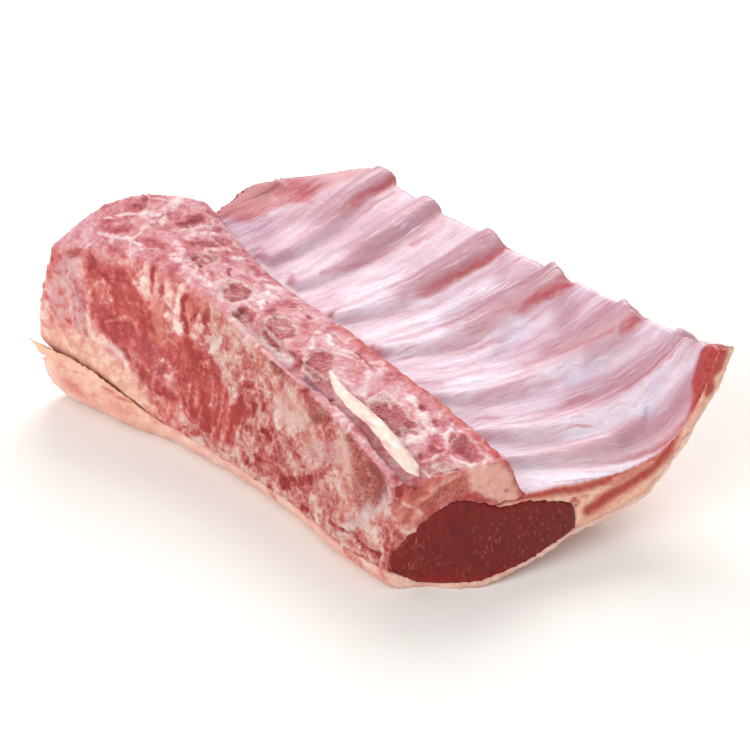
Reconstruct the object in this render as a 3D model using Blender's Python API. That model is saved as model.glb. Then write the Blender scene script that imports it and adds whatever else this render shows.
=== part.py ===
# A raw rack of ribs with the backbone on, lying on its fat with the inside of the rib cage up.
# +X runs along the backbone to the loin end, +Y runs out along the ribs, +Z is up.
# Outlines are worked out in millimetres in section, across the backbone, and placed in metres.

import math

import bmesh
import bpy
from mathutils import Vector

MM = 0.001
SEAM = 0.15  # half of the gap between two neighbouring pieces

# Where the box's bottom centre lies, measured from the spinal canal at the shoulder end.
CENTRE_X = 99.75
CENTRE_Y = 32.65

# The two end cuts. Each gives the place along the backbone at a distance across it.
LOIN_CUT_AT_CANAL = 174.0
LOIN_CUT_SLANT = 0.36
LOIN_CORNER_Y = 84.0
LOIN_CORNER_CURVE = 0.01
LOIN_FOOT_OUT = [(-14, 0), (-4, 2), (5, 8), (13, 10), (23, 9.6), (35, 7.7), (52, 2), (64, 0)]
LOIN_FOOT_Z = 32.0  # the foot of the loin cut leans out below this height
SHOULDER_CUT = [(-43, -8), (-28, -3), (-10, -1), (10, 5), (24, 13), (38, 9), (53, 3), (64, 6), (75, 12), (97, 22)]

# Sizes along the rack: each pair is (share of the length from the shoulder end, millimetres).
FOOT_Y = [(0, -38), (0.06, -37), (0.13, -33), (0.25, -26.5), (0.32, -22), (0.5, -17.2), (0.7, -15.5), (0.9, -17.5),
          (1, -14.5)]
FOOT_ROUNDING = [(0, 13), (0.12, 8), (0.25, 6), (1, 6)]
FACE_BULGE = [(0, -2.5), (0.3, -1), (0.6, 1), (1, 1.5)]
EDGE_Y = [(0, -31), (0.1, -19), (0.2, -12), (0.35, -6), (0.6, -7), (0.8, -9), (1, -11.5)]
EDGE_Z = [(0, 62.5), (0.1, 65), (0.2, 64.5), (0.35, 58.5), (0.5, 53.5), (0.65, 51), (0.8, 48), (1, 40)]
STRIP_CROWN = [(0, 8.5), (0.15, 4.5), (0.3, 2), (1, 0.5)]
RIDGE_Z = [(0, 70), (0.08, 64), (0.17, 58), (0.3, 54.5), (0.45, 53.5), (0.6, 51), (0.78, 48), (0.9, 45), (1, 41.5)]
ARCH_DEPTH = [(0, 5), (0.4, 8), (0.6, 16), (1, 17)]
VALLEY_Z = [(0, 63), (0.1, 56), (0.2, 50), (0.4, 45), (0.6, 40), (0.8, 34), (1, 27)]
TIP_Y = [(0, 97), (0.25, 99), (0.5, 100), (0.85, 100), (0.94, 98), (1, 94)]
TIP_Z = [(0, 66), (0.2, 62), (0.5, 61), (0.85, 61.5), (0.94, 64), (1, 69)]
DISH_POWER = [(0, 0.8), (0.2, 1.3), (0.5, 2.3), (0.85, 3.4), (1, 5.8)]
SHEET_THICKNESS = [(0, 16), (0.5, 12), (0.9, 10), (1, 8)]
FLAT_END_Y = [(0, 44), (0.5, 48), (1, 51)]
BOTTOM_RISE_POWER = [(0, 1.6), (0.6, 1.6), (1, 2)]
LOIN_BOTTOM = [(0.08, 0), (0.206, 0.036), (0.295, 0.066), (0.403, 0.116), (0.472, 0.131), (0.56, 0.148), (0.65, 0.185),
               (0.708, 0.239), (0.767, 0.336), (0.806, 0.433), (0.846, 0.545), (0.885, 0.657), (0.924, 0.754),
               (0.964, 0.858), (1, 1)]  # the underside at the loin cut, as shares of the outer tip's place
LOIN_BOTTOM_FROM = 0.62  # the share of the length where the underside begins to lift towards the loin cut
FAT_SIDE_Z = [(0, 27), (0.1, 24), (0.2, 17), (0.32, 9), (0.5, 7), (1, 8)]
FAT_THICKNESS = [(0, 6), (0.5, 5), (0.75, 4.4), (1, 2.4)]
FAT_THINNING = 0.55  # the share of its thickness that the fat loses towards the rib ends
FAT_LIP = [(0, 4.5), (0.12, 2), (0.25, 0), (1, 0)]

RIDGE_Y = 24.0
VALLEY_Y = 31.0
SPLIT_Y = 2.0  # between the muscle on the blade bones and the rib wall

# The loin muscle that runs through the rack, drawn at the loin cut about its middle.
EYE_MIDDLE_Y = [(0, 8), (0.5, 16), (1, 18)]
EYE_MIDDLE_Z = [(0, 22), (0.5, 18), (1, 16)]
EYE_SCALE_Y = [(0, 0.85), (0.5, 0.85), (1, 1)]
EYE_SCALE_Z = [(0, 1.3), (1, 1)]
EYE_OUTLINE = [(29, -1.5), (27.5, 4), (20.5, 7), (12, 8.8), (4, 8.4), (-4, 12.8), (-12, 14), (-20.5, 8), (-29, -0.5),
               (-30.6, -5), (-28, -10.5), (-16, -17), (2, -17), (17, -14), (26.5, -8)]
EYE_IN_FAT = 0.7  # how far the eye is pressed into the fat below it

# The ribs: where each leaves the backbone, and where it is sawn off at the outer edge.
RIB_ROOT_X = [38, 55, 78, 101, 131, 153, 169]
RIB_TIP_X = [30, 56, 91, 126, 162, 188, 196]
RIB_ROOT_Y = 34.0
RIB_HALF_WIDTH = [6.4, 6.4, 6.4, 6.4, 6.2, 5.2, 4.2]
RIB_LENGTH_SHARE = [1, 1, 1, 1, 1, 1, 0.72]  # the last one ends inside, short of the loin cut
RIB_HALF_HEIGHT = 3.9
RIB_PROUD = 3.2  # how far a rib stands above the wall between the ribs
RIB_STICK_OUT = 0.8

# The open end of the spinal canal, and the white marrow that lies in it.
CANAL_START_X = 70.0
CANAL_Y = [(70, -0.5), (108, -2.4), (128, -1.4), (144, -2), (160, -4), (182, -5)]  # across the rack, along its length
CANAL_HALF_WIDTH = 3.6
MARROW_START_X = 121.0
MARROW_RADIUS = 2.7

# The open slit between the two layers of fat at the shoulder end.
SLIT_END_X = 44.0
SLIT_Z = [(-20, 19), (0, 18.5), (44, 10)]
SLIT_DEPTH = 9.0
SLIT_HALF_HEIGHT = 1.3

STATIONS = 27
SIDE_POINTS = 9
WALL_POINTS = 17
EYE_SIDES = 30
RIB_STATIONS = 13
RIB_SIDES = 12


def along(stops, place):
    """A smooth curve through the stops, flat where they turn, so that it never overshoots."""
    if place <= stops[0][0]:
        return stops[0][1]
    if place >= stops[-1][0]:
        return stops[-1][1]
    slopes = [(b[1] - a[1]) / (b[0] - a[0]) for a, b in zip(stops, stops[1:])]
    i = next(n for n in range(len(slopes)) if place <= stops[n + 1][0])

    def tangent(n):
        if n in (0, len(slopes)):
            return slopes[min(n, len(slopes) - 1)]
        before, after = slopes[n - 1], slopes[n]
        return 0.0 if before * after <= 0 else 2 * before * after / (before + after)

    width = stops[i + 1][0] - stops[i][0]
    u = (place - stops[i][0]) / width
    rise = u * u * (3 - 2 * u)
    start_pull = u * (1 - u) ** 2 * width * tangent(i)
    end_pull = u * u * (u - 1) * width * tangent(i + 1)
    return stops[i][1] + rise * (stops[i + 1][1] - stops[i][1]) + start_pull + end_pull


def steps(count):
    return [n / (count - 1) for n in range(count)]


def shoulder_x(y):
    return along(SHOULDER_CUT, y)


def loin_x(y, z=LOIN_FOOT_Z):
    past_corner = max(0.0, y - LOIN_CORNER_Y)
    lean = along(LOIN_FOOT_OUT, y) * max(0.0, 1 - z / LOIN_FOOT_Z)
    return LOIN_CUT_AT_CANAL + LOIN_CUT_SLANT * y - LOIN_CORNER_CURVE * past_corner**2 + lean


def share_at(x, y):
    """How far along the rack a place is, from 0 at the shoulder cut to 1 at the loin cut."""
    return (x - shoulder_x(y)) / (loin_x(y) - shoulder_x(y))


def in_frame(x, y, z):
    return Vector(((x - CENTRE_X) * MM, (y - CENTRE_Y) * MM, z * MM))


def placed(share, y, z):
    return in_frame(shoulder_x(y) + share * (loin_x(y, z) - shoulder_x(y)), y, z)


# Section lines. Each takes a share of the length and gives points (y, z).


def face_y(share, z):
    """The sawn side of the rack, from its foot to the edge of the backbone."""
    foot, edge, low = along(FOOT_Y, share), along(EDGE_Y, share), along(FOOT_ROUNDING, share)
    u = min(1.0, max(0.0, (z - low) / (along(EDGE_Z, share) - low)))
    return foot + (edge - foot) * u**1.2 + along(FACE_BULGE, share) * 4 * u * (1 - u)


def strip_z(share, y):
    """The sawn top of the backbone, from its edge to the ridge over the ribs."""
    edge = along(EDGE_Y, share)
    u = (y - edge) / (RIDGE_Y - edge)
    flat = along(EDGE_Z, share) * (1 - u) + along(RIDGE_Z, share) * u
    return flat + along(STRIP_CROWN, share) * 4 * u * (1 - u)


def slope_z(share, y):
    """The inner side of the backbone, down to the roots of the ribs."""
    u = (y - RIDGE_Y) / (VALLEY_Y - RIDGE_Y)
    ease = u * u * (3 - 2 * u)
    return along(RIDGE_Z, share) * (1 - ease) + along(VALLEY_Z, share) * ease


def wall_z(share, y):
    """The inside of the rib wall between the ribs."""
    u = max(0.0, (y - VALLEY_Y) / (along(TIP_Y, share) - VALLEY_Y))
    low = along(VALLEY_Z, share)
    return low + (along(TIP_Z, share) - low) * u ** along(DISH_POWER, share)


def outer_tip(share):
    """Where the sawn outer edge meets the fat: square to the wall, a thickness below it."""
    y, z = along(TIP_Y, share), along(TIP_Z, share)
    rise = wall_z(share, y) - wall_z(share, y - 1)
    length = math.hypot(1, rise)
    thick = along(SHEET_THICKNESS, share)
    return y + thick * rise / length, z - thick / length


def bottom_z(share, y):
    """The underside: rounded at the foot, flat where it lies on the table, then rising."""
    foot, flat, rounding = along(FOOT_Y, share), along(FLAT_END_Y, share), along(FOOT_ROUNDING, share)
    if y < foot + rounding:
        u = min(1.0, (foot + rounding - y) / rounding)
        return rounding * (1 - math.sqrt(1 - u * u))
    tip_y, tip_z = outer_tip(share)
    u = max(0.0, (y - flat) / (tip_y - flat))
    even = u ** along(BOTTOM_RISE_POWER, share)
    v = max(0.0, (share - LOIN_BOTTOM_FROM) / (1 - LOIN_BOTTOM_FROM))
    ease = v * v * (3 - 2 * v)
    return tip_z * (even * (1 - ease) + along(LOIN_BOTTOM, y / tip_y) * ease)


def bottom_line(share, count):
    foot, tip = along(FOOT_Y, share), outer_tip(share)[0]
    return [(y, bottom_z(share, y)) for y in (foot + (tip - foot) * u**1.25 for u in steps(count))]


def fat_top_line(share, lift):
    """The upper side of the fat, thick at the sawn side and even along the rest."""
    thick, side = along(FAT_THICKNESS, share), along(FAT_SIDE_Z, share)
    start = face_y(share, side)
    lower = bottom_line(share, 46)
    dense = []
    for n, (y, z) in enumerate(lower):
        before, after = lower[max(0, n - 1)], lower[min(45, n + 1)]
        run, rise = after[0] - before[0], after[1] - before[1]
        length = math.hypot(run, rise)
        depth = thick * (1 - FAT_THINNING * max(0.0, 2 * n / 45 - 1))
        top_y, top_z = y - depth * rise / length, z + depth * run / length
        u = max(0.0, 1 - (y - lower[0][0]) / 16)
        ease = u * u * (3 - 2 * u)
        dense.append((top_y * (1 - ease) + start * ease, top_z * (1 - ease) + side * ease))
    left = [p for p in dense if p[0] < SPLIT_Y - 1]
    right = [p for p in dense if p[0] > SPLIT_Y + 1]
    middle = (SPLIT_Y, (left[-1][1] + right[0][1]) / 2)
    line = resampled(left + [middle], SIDE_POINTS) + resampled([middle] + right, WALL_POINTS)[1:]
    raised = []
    for n, (y, z) in enumerate(line):
        before, after = line[max(0, n - 1)], line[min(len(line) - 1, n + 1)]
        run, rise = after[0] - before[0], after[1] - before[1]
        length = math.hypot(run, rise)
        raised.append((y - lift * rise / length, z + lift * run / length))
    return raised


def floor_line(share, first_y, last_y, count, lift):
    """The underside of the backbone, from the sawn side to the roots of the ribs."""
    low_left = along(EDGE_Z, share) - along(ARCH_DEPTH, share)
    left, right = face_y(share, low_left), VALLEY_Y
    points = []
    for u in steps(count):
        y = first_y + (last_y - first_y) * u
        v = (y - left) / (right - left)
        points.append((y, low_left * (1 - v) + along(VALLEY_Z, share) * v + lift))
    return points


def chine_section(share):
    floor_z = along(EDGE_Z, share) - along(ARCH_DEPTH, share)
    edge_z = along(EDGE_Z, share)
    left = [(face_y(share, z), z) for z in (floor_z + (edge_z - floor_z) * u for u in steps(5))]
    edge_y = along(EDGE_Y, share)
    strip = [(y, strip_z(share, y)) for y in (edge_y + (RIDGE_Y - edge_y) * u for u in steps(11)[1:])]
    slope = [(y, slope_z(share, y)) for y in (RIDGE_Y + (VALLEY_Y - SEAM - RIDGE_Y) * u for u in steps(6)[1:])]
    floor = floor_line(share, VALLEY_Y - SEAM, left[0][0], 8, SEAM)
    left[0] = floor[-1]
    return left + strip + slope[:-1] + floor[:-1]


def side_section(share):
    side, floor_z = along(FAT_SIDE_Z, share), along(EDGE_Z, share) - along(ARCH_DEPTH, share)
    bottom = fat_top_line(share, SEAM)[:SIDE_POINTS]
    bottom[0] = (face_y(share, side + SEAM), side + SEAM)
    bottom[-1] = (SPLIT_Y - SEAM, bottom[-1][1])
    floor = floor_line(share, SPLIT_Y - SEAM, face_y(share, floor_z), 6, -SEAM)
    low, high = side + SEAM, floor[-1][1]
    face = [(face_y(share, z), z) for z in (high + (low - high) * u for u in steps(9))]
    return bottom + floor[:-1] + face[:-1]


def wall_section(share):
    floor = floor_line(share, SPLIT_Y + SEAM, VALLEY_Y, 6, -SEAM)
    start, tip = VALLEY_Y + 2 * SEAM, along(TIP_Y, share)
    inner = [(y, wall_z(share, y)) for y in (start + (tip - start) * u for u in steps(24))]
    outer = fat_top_line(share, SEAM)[SIDE_POINTS - 1 :]
    outer[0] = (SPLIT_Y + SEAM, outer[0][1])
    return floor + inner + outer[::-1]


def fat_section(share):
    lower = bottom_line(share, 26)
    upper = fat_top_line(share, -SEAM)
    side, lip = along(FAT_SIDE_Z, share), along(FAT_LIP, share)
    low = lower[0][1]
    face = []
    for u in steps(6)[1:-1]:
        z = low + (side - low) * u
        face.append((face_y(share, z) - lip * u * u, z))
    upper[0] = (upper[0][0] - lip, upper[0][1])
    return lower + upper[::-1] + face[::-1]


def eye_section(share, grow):
    """The outline of the loin muscle, flattened where it lies on the fat."""
    middle_y, middle_z = along(EYE_MIDDLE_Y, share), along(EYE_MIDDLE_Z, share)
    scale_y, scale_z = along(EYE_SCALE_Y, share), along(EYE_SCALE_Z, share)
    lift = along(FAT_THICKNESS, share) - EYE_IN_FAT - grow
    corners = [(middle_y + y * scale_y, middle_z + z * scale_z) for y, z in EYE_OUTLINE]
    smooth = []
    for n in range(EYE_SIDES):
        place = n * len(corners) / EYE_SIDES
        i, u = int(place), place % 1
        a, b, c, d = (corners[(i + k) % len(corners)] for k in (-1, 0, 1, 2))
        curve = [(2 * q + (r - p) * u + (2 * p - 5 * q + 4 * r - t) * u * u + (3 * q - p - 3 * r + t) * u**3) / 2
                 for p, q, r, t in zip(a, b, c, d)]
        smooth.append(curve)
    points = []
    for n, (y, z) in enumerate(smooth):
        before, after = smooth[n - 1], smooth[(n + 1) % EYE_SIDES]
        run, rise = after[0] - before[0], after[1] - before[1]
        length = math.hypot(run, rise)
        points.append((y + grow * rise / length, max(bottom_z(share, y) + lift, z - grow * run / length)))
    return points


def resampled(points, count):
    """The same line with evenly spaced points."""
    run = [0.0]
    for a, b in zip(points, points[1:]):
        run.append(run[-1] + math.dist(a, b))
    found, i = [], 0
    for u in steps(count):
        place = u * run[-1]
        while i < len(points) - 2 and run[i + 1] < place:
            i += 1
        v = (place - run[i]) / (run[i + 1] - run[i])
        a, b = points[i], points[i + 1]
        found.append((a[0] + (b[0] - a[0]) * v, a[1] + (b[1] - a[1]) * v))
    return found


# Solids.


def material(name, colour, roughness):
    made = bpy.data.materials.new(name)
    made.use_nodes = True
    shader = made.node_tree.nodes["Principled BSDF"]
    shader.inputs["Base Color"].default_value = (*colour, 1)
    shader.inputs["Roughness"].default_value = roughness
    shader.inputs["Metallic"].default_value = 0
    return made


def loft(name, rings, collection, finish=None):
    """A closed solid through rings of equal length, with its ends filled."""
    mesh = bpy.data.meshes.new(name)
    build = bmesh.new()
    rows = [[build.verts.new(point) for point in ring] for ring in rings]
    for row, following in zip(rows, rows[1:]):
        for n in range(len(row)):
            after = (n + 1) % len(row)
            build.faces.new((row[n], row[after], following[after], following[n]))
    build.faces.new(rows[0][::-1])
    build.faces.new(rows[-1])
    bmesh.ops.recalc_face_normals(build, faces=build.faces)
    bmesh.ops.triangulate(build, faces=[f for f in build.faces if len(f.verts) > 4])
    build.to_mesh(mesh)
    build.free()
    mesh.shade_smooth()
    mesh.set_sharp_from_angle(angle=math.radians(40))
    made = bpy.data.objects.new(name, mesh)
    if finish:
        mesh.materials.append(finish)
    else:
        made.hide_render = True
        made.display_type = "WIRE"
    collection.objects.link(made)
    return made


def sections(shape, shares):
    return [[placed(share, y, z) for y, z in shape(share)] for share in shares]


def cut(target, cutter):
    modifier = target.modifiers.new("cut " + cutter.name, "BOOLEAN")
    modifier.operation = "DIFFERENCE"
    if isinstance(cutter, bpy.types.Collection):
        modifier.operand_type = "COLLECTION"
        modifier.collection = cutter
    else:
        modifier.object = cutter


def rib_frame(number, u):
    """The middle of a rib, the way up from the wall, and the way across the rib."""
    root_x, tip_x = RIB_ROOT_X[number], RIB_TIP_X[number]

    def spot(v):
        y = RIB_ROOT_Y
        for _ in range(6):
            x = root_x + (tip_x - root_x) * v**0.9
            share = share_at(x, y)
            y = RIB_ROOT_Y + (along(TIP_Y, share) - RIB_ROOT_Y) * v
        return x, y, wall_z(share, y)

    x, y, z = spot(u)
    before, after = spot(max(0.0, u - 0.02)), spot(min(1.0, u + 0.02))
    tangent = Vector([b - a for a, b in zip(before, after)]).normalized()
    up = Vector((0, -tangent.z, tangent.y)).normalized()
    across = tangent.cross(up).normalized()
    up = across.cross(tangent).normalized()
    return Vector((x, y, z)), tangent, up, across


def rib_rings(number, grow):
    rings = []
    reaches_edge = RIB_LENGTH_SHARE[number] == 1
    for u in steps(RIB_STATIONS):
        middle, tangent, up, across = rib_frame(number, u * RIB_LENGTH_SHARE[number])
        swell = min(1.0, u * 3.2)
        if not reaches_edge:
            swell = min(swell, (1 - u) * 4)
        wide = RIB_HALF_WIDTH[number] * (0.62 + 0.38 * swell) + grow
        high = RIB_HALF_HEIGHT * (0.75 + 0.25 * swell) + grow
        middle = middle + up * (RIB_PROUD - RIB_HALF_HEIGHT)
        if u == 0.0:
            middle = middle - tangent * grow
        if u == 1.0:
            middle = middle + tangent * (grow + (RIB_STICK_OUT + 10 * grow if reaches_edge else 0))
        ring = []
        for n in range(RIB_SIDES):
            angle = 2 * math.pi * n / RIB_SIDES
            point = middle + across * wide * math.cos(angle) + up * high * math.sin(angle)
            ring.append(in_frame(*point))
        rings.append(ring)
    return rings


def canal_spot(x):
    y = along(CANAL_Y, x)
    return in_frame(x, y, strip_z(share_at(x, y), y))


def tube(name, points, radius, collection):
    """A round tube along the points, as a mesh that a Boolean can use."""
    line = bpy.data.curves.new(name, "CURVE")
    line.dimensions = "3D"
    line.bevel_depth = radius
    line.bevel_resolution = 2
    line.use_fill_caps = True
    spline = line.splines.new("POLY")
    spline.points.add(len(points) - 1)
    for slot, point in zip(spline.points, points):
        slot.co = (*point, 1)
    drawn = bpy.data.objects.new(name + " line", line)
    collection.objects.link(drawn)
    bpy.context.view_layer.update()
    evaluated = drawn.evaluated_get(bpy.context.evaluated_depsgraph_get())
    mesh = bpy.data.meshes.new_from_object(evaluated)
    mesh.name = name
    build = bmesh.new()
    build.from_mesh(mesh)
    bmesh.ops.remove_doubles(build, verts=build.verts, dist=0.01 * MM)
    bmesh.ops.recalc_face_normals(build, faces=build.faces)
    build.to_mesh(mesh)
    build.free()
    mesh.shade_smooth()
    made = bpy.data.objects.new(name, mesh)
    collection.objects.link(made)
    bpy.data.objects.remove(drawn)
    bpy.data.curves.remove(line)
    return made


def slit_rings():
    """A thin wedge let in from the sawn side, between the upper and the lower fat."""
    rings = []
    for u in steps(8):
        x = -20 + (SLIT_END_X + 20) * u
        share = max(0.0, share_at(x, -36))
        z = along(SLIT_Z, x)
        deep = SLIT_DEPTH * (1 - u**3)
        inner = face_y(share, z) + deep
        outer = face_y(share, z) - 12
        half = SLIT_HALF_HEIGHT * (1 - 0.6 * u)
        rings.append([in_frame(x, outer, z - 2 * half), in_frame(x, inner, z - 0.2), in_frame(x, inner, z + 0.2),
                      in_frame(x, outer, z + 2 * half)])
    return rings


def main():
    for thing in list(bpy.data.objects):
        bpy.data.objects.remove(thing)
    rack = bpy.data.collections.new("rack of ribs")
    cutters = bpy.data.collections.new("cutters")
    rib_cutters = bpy.data.collections.new("rib cutters")
    for collection in (rack, cutters, rib_cutters):
        bpy.context.scene.collection.children.link(collection)

    fat = material("fat", (0.83, 0.55, 0.45), 0.45)
    lean = material("lean", (0.55, 0.13, 0.11), 0.4)
    eye_lean = material("eye lean", (0.28, 0.05, 0.04), 0.4)
    bone = material("bone", (0.76, 0.47, 0.42), 0.5)
    membrane = material("membrane", (0.78, 0.5, 0.56), 0.3)
    marrow = material("marrow", (0.86, 0.79, 0.66), 0.4)

    shares = steps(STATIONS)
    fat_cap = loft("fat_cap", sections(fat_section, shares), rack, fat)
    side = loft("side_muscle", sections(side_section, shares), rack, lean)
    wall = loft("rib_wall", sections(wall_section, shares), rack, membrane)
    chine = loft("chine_bone", sections(chine_section, shares), rack, bone)
    loft("loin_eye", sections(lambda share: eye_section(share, 0.0), steps(13)), rack, eye_lean)

    past_ends = [-0.1] + steps(13) + [1.1]
    eye_hole = loft("eye hole", sections(lambda share: eye_section(share, 2 * SEAM), past_ends), cutters)
    for target in (fat_cap, side, wall, chine):
        cut(target, eye_hole)

    for number in range(len(RIB_ROOT_X)):
        loft(f"rib_{number + 1}", rib_rings(number, 0.0), rack, bone)
        loft(f"rib bed {number + 1}", rib_rings(number, 2 * SEAM), rib_cutters)
    cut(wall, rib_cutters)

    canal_points = [canal_spot(CANAL_START_X + (LOIN_CUT_AT_CANAL + 8 - CANAL_START_X) * u) for u in steps(14)]
    canal = tube("canal", canal_points, CANAL_HALF_WIDTH * MM, cutters)
    canal.hide_render = True
    canal.display_type = "WIRE"
    cut(chine, canal)
    marrow_points = [canal_spot(MARROW_START_X + (LOIN_CUT_AT_CANAL - MARROW_START_X) * u) for u in steps(12)]
    spinal = tube("spinal_marrow", marrow_points, MARROW_RADIUS * MM, rack)
    spinal.data.materials.append(marrow)

    slit = loft("slit", slit_rings(), cutters)
    cut(fat_cap, slit)


main()
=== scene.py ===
import math

import bmesh
import bpy
import numpy as np
from mathutils import Matrix, Vector


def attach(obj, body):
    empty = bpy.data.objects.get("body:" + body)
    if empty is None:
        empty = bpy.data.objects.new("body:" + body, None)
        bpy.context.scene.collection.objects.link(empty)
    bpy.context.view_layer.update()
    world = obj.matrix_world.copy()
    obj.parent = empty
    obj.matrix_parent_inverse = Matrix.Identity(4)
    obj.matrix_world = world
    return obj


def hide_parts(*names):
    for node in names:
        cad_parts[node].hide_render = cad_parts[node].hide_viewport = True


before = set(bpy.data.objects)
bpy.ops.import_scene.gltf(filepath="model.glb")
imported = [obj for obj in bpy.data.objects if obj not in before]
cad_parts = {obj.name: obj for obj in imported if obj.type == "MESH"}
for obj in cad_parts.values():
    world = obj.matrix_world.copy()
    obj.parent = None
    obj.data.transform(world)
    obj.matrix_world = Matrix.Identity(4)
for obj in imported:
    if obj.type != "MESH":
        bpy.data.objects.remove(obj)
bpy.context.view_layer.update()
print("frame loaded")

# The rack's own grid, in millimetres: along the backbone, across it from the spinal canal, and up.
gridOrigin = np.array([99.75, 32.65, 0.0])


# A smooth curve through (place, value) stops, eased as in the solids, for whole arrays.
def curveThrough(stops, places):
    xs = np.array([s[0] for s in stops], float)
    ys = np.array([s[1] for s in stops], float)
    slopes = np.diff(ys) / np.diff(xs)
    tangents = np.zeros(len(xs))
    tangents[0], tangents[-1] = slopes[0], slopes[-1]
    both = slopes[:-1] * slopes[1:] > 0
    inner = np.zeros(len(slopes) - 1)
    inner[both] = 2 * slopes[:-1][both] * slopes[1:][both] / (slopes[:-1][both] + slopes[1:][both])
    tangents[1:-1] = inner
    p = np.clip(np.asarray(places, float), xs[0], xs[-1])
    i = np.clip(np.searchsorted(xs, p, side="right") - 1, 0, len(xs) - 2)
    width = xs[i + 1] - xs[i]
    u = (p - xs[i]) / width
    rise = u * u * (3 - 2 * u)
    return ys[i] + rise * (ys[i + 1] - ys[i]) + u * (1 - u) ** 2 * width * tangents[i] \
        + u * u * (u - 1) * width * tangents[i + 1]


# Where the solids end: the two cut ends and the row of rib tips.
rackLines = {
    "shoulderCut": [(-43, -8), (-28, -3), (-10, -1), (10, 5), (24, 13), (38, 9), (53, 3), (64, 6), (75, 12), (97, 22)],
    "loinFootOut": [(-14, 0), (-4, 2), (5, 8), (13, 10), (23, 9.6), (35, 7.7), (52, 2), (64, 0)],
    "loinFootHeight": 32, "loinAt": 174, "loinSlope": 0.36, "loinBend": 0.01, "loinBendFrom": 84,
    "tipY": [(0, 97), (0.25, 99), (0.5, 100), (0.85, 100), (0.94, 98), (1, 94)],
}


def shoulderX(y):
    return curveThrough(rackLines["shoulderCut"], y)


def loinX(y, z):
    r = rackLines
    foot = curveThrough(r["loinFootOut"], y) * np.maximum(0, 1 - z / r["loinFootHeight"])
    return r["loinAt"] + r["loinSlope"] * y - r["loinBend"] * np.maximum(0, y - r["loinBendFrom"]) ** 2 + foot


def pastLoin(p):
    return p[:, 0] - loinX(p[:, 1], p[:, 2])


def pastShoulder(p):
    return p[:, 0] - shoulderX(p[:, 1])


def pastTips(p):
    near, far = loinX(p[:, 1], rackLines["loinFootHeight"]), shoulderX(p[:, 1])
    return p[:, 1] - curveThrough(rackLines["tipY"], np.clip((p[:, 0] - far) / (near - far), 0, 1))


# Soft noise on a lattice, the same on every run. The primes mix the numbers of a lattice corner.
noisePrimes = {"corner": (73856093, 19349663, 83492791), "seed": 668265263, "mixing": ((13, 1274126177), (11, 668265263))}


def latticeNoise(points, cell, seed):
    q = np.asarray(points, float) / cell + 1000.0
    base = np.floor(q).astype(np.int64)
    f = q - base
    f = f * f * (3 - 2 * f)
    total = np.zeros(len(q))
    for corner in np.ndindex(2, 2, 2):
        h = (base + corner) * noisePrimes["corner"]
        h = (h[:, 0] ^ h[:, 1] ^ h[:, 2] ^ seed * noisePrimes["seed"]) & 0x7FFFFFFF
        for shift, prime in noisePrimes["mixing"]:
            h = ((h ^ (h >> shift)) * prime) & 0x7FFFFFFF
        value = ((h ^ (h >> 15)) & 0xFFFF) / 32767.5 - 1
        share = np.where(corner, f, 1 - f)
        total += value * share[:, 0] * share[:, 1] * share[:, 2]
    return total


def cloudNoise(points, cell, seed, octaves=3):
    total, weight = 0, 1.0
    for k in range(octaves):
        total = total + weight * latticeNoise(points, cell / 2**k, seed + 17 * k)
        weight *= 0.55
    return total


# Three noises as one wavering shift of the points.
def swayed(points, amount, cell, seed, stretch=1):
    return points + amount * np.stack([cloudNoise(points * stretch, cell, seed + k) for k in range(3)], 1)


def easeBetween(low, high, value):
    u = np.clip((value - low) / (high - low), 0, 1)
    return u * u * (3 - 2 * u)


# Brushes: masks between 0 and 1 on a plane (u, v) in millimetres.


def lineDistance(u, v, points, closed=False):
    near = np.full(len(u), 1e9)
    for (u0, v0), (u1, v1) in zip(points, points[1:] + points[:1] if closed else points[1:]):
        du, dv = u1 - u0, v1 - v0
        t = np.clip(((u - u0) * du + (v - v0) * dv) / max(1e-9, du * du + dv * dv), 0, 1)
        near = np.minimum(near, np.hypot(u - u0 - t * du, v - v0 - t * dv))
    return near


# Lines of paint: each row is a width, the points and, if it isn't full, a strength.
def strokes(u, v, rows, soft=0.5):
    total = np.zeros(len(u))
    for width, points, *rest in rows:
        strength = rest[0] if rest else 1.0
        near = lineDistance(u, v, points)
        total = np.maximum(total, strength * (1 - easeBetween(width * (1 - soft) / 2, width * (1 + soft) / 2, near)))
    return total


# Filled outlines, soft over the edge's width.
def patches(u, v, rows, edge):
    total = np.zeros(len(u))
    for corners in rows:
        inside = np.zeros(len(u), bool)
        for (u0, v0), (u1, v1) in zip(corners, corners[1:] + corners[:1]):
            if v0 != v1:
                inside ^= ((v0 > v) != (v1 > v)) & (u < u0 + (v - v0) * (u1 - u0) / (v1 - v0))
        near = lineDistance(u, v, corners, True)
        total = np.maximum(total, easeBetween(-edge, edge, np.where(inside, near, -near)))
    return total


# A cut end: close to the cut, within the reach, and facing along the backbone.
def cutFace(past, normals, reach, facing):
    return easeBetween(*reach, past) * easeBetween(*facing, normals[:, 0])


# Skins: one closed, even mesh over one or more solids, to carve and paint.


def placed(name, data):
    made = bpy.data.objects.new(name, data)
    bpy.context.scene.collection.objects.link(made)
    return made


def skinOver(name, nodes, voxel):
    joined = bmesh.new()
    for node in nodes:
        joined.from_mesh(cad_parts[node].data)
    bmesh.ops.remove_doubles(joined, verts=joined.verts, dist=0.00001)
    raw = bpy.data.meshes.new(name + "Raw")
    joined.to_mesh(raw)
    joined.free()
    shell = placed(name + "Raw", raw)
    even = shell.modifiers.new("even", "REMESH")
    even.mode = "VOXEL"
    even.voxel_size = voxel
    bpy.context.view_layer.update()
    made = bpy.data.meshes.new_from_object(shell.evaluated_get(bpy.context.evaluated_depsgraph_get()))
    made.name = name
    bpy.data.objects.remove(shell)
    bpy.data.meshes.remove(raw)
    made.materials.clear()
    made.shade_smooth()
    return placed(name, made)


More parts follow.
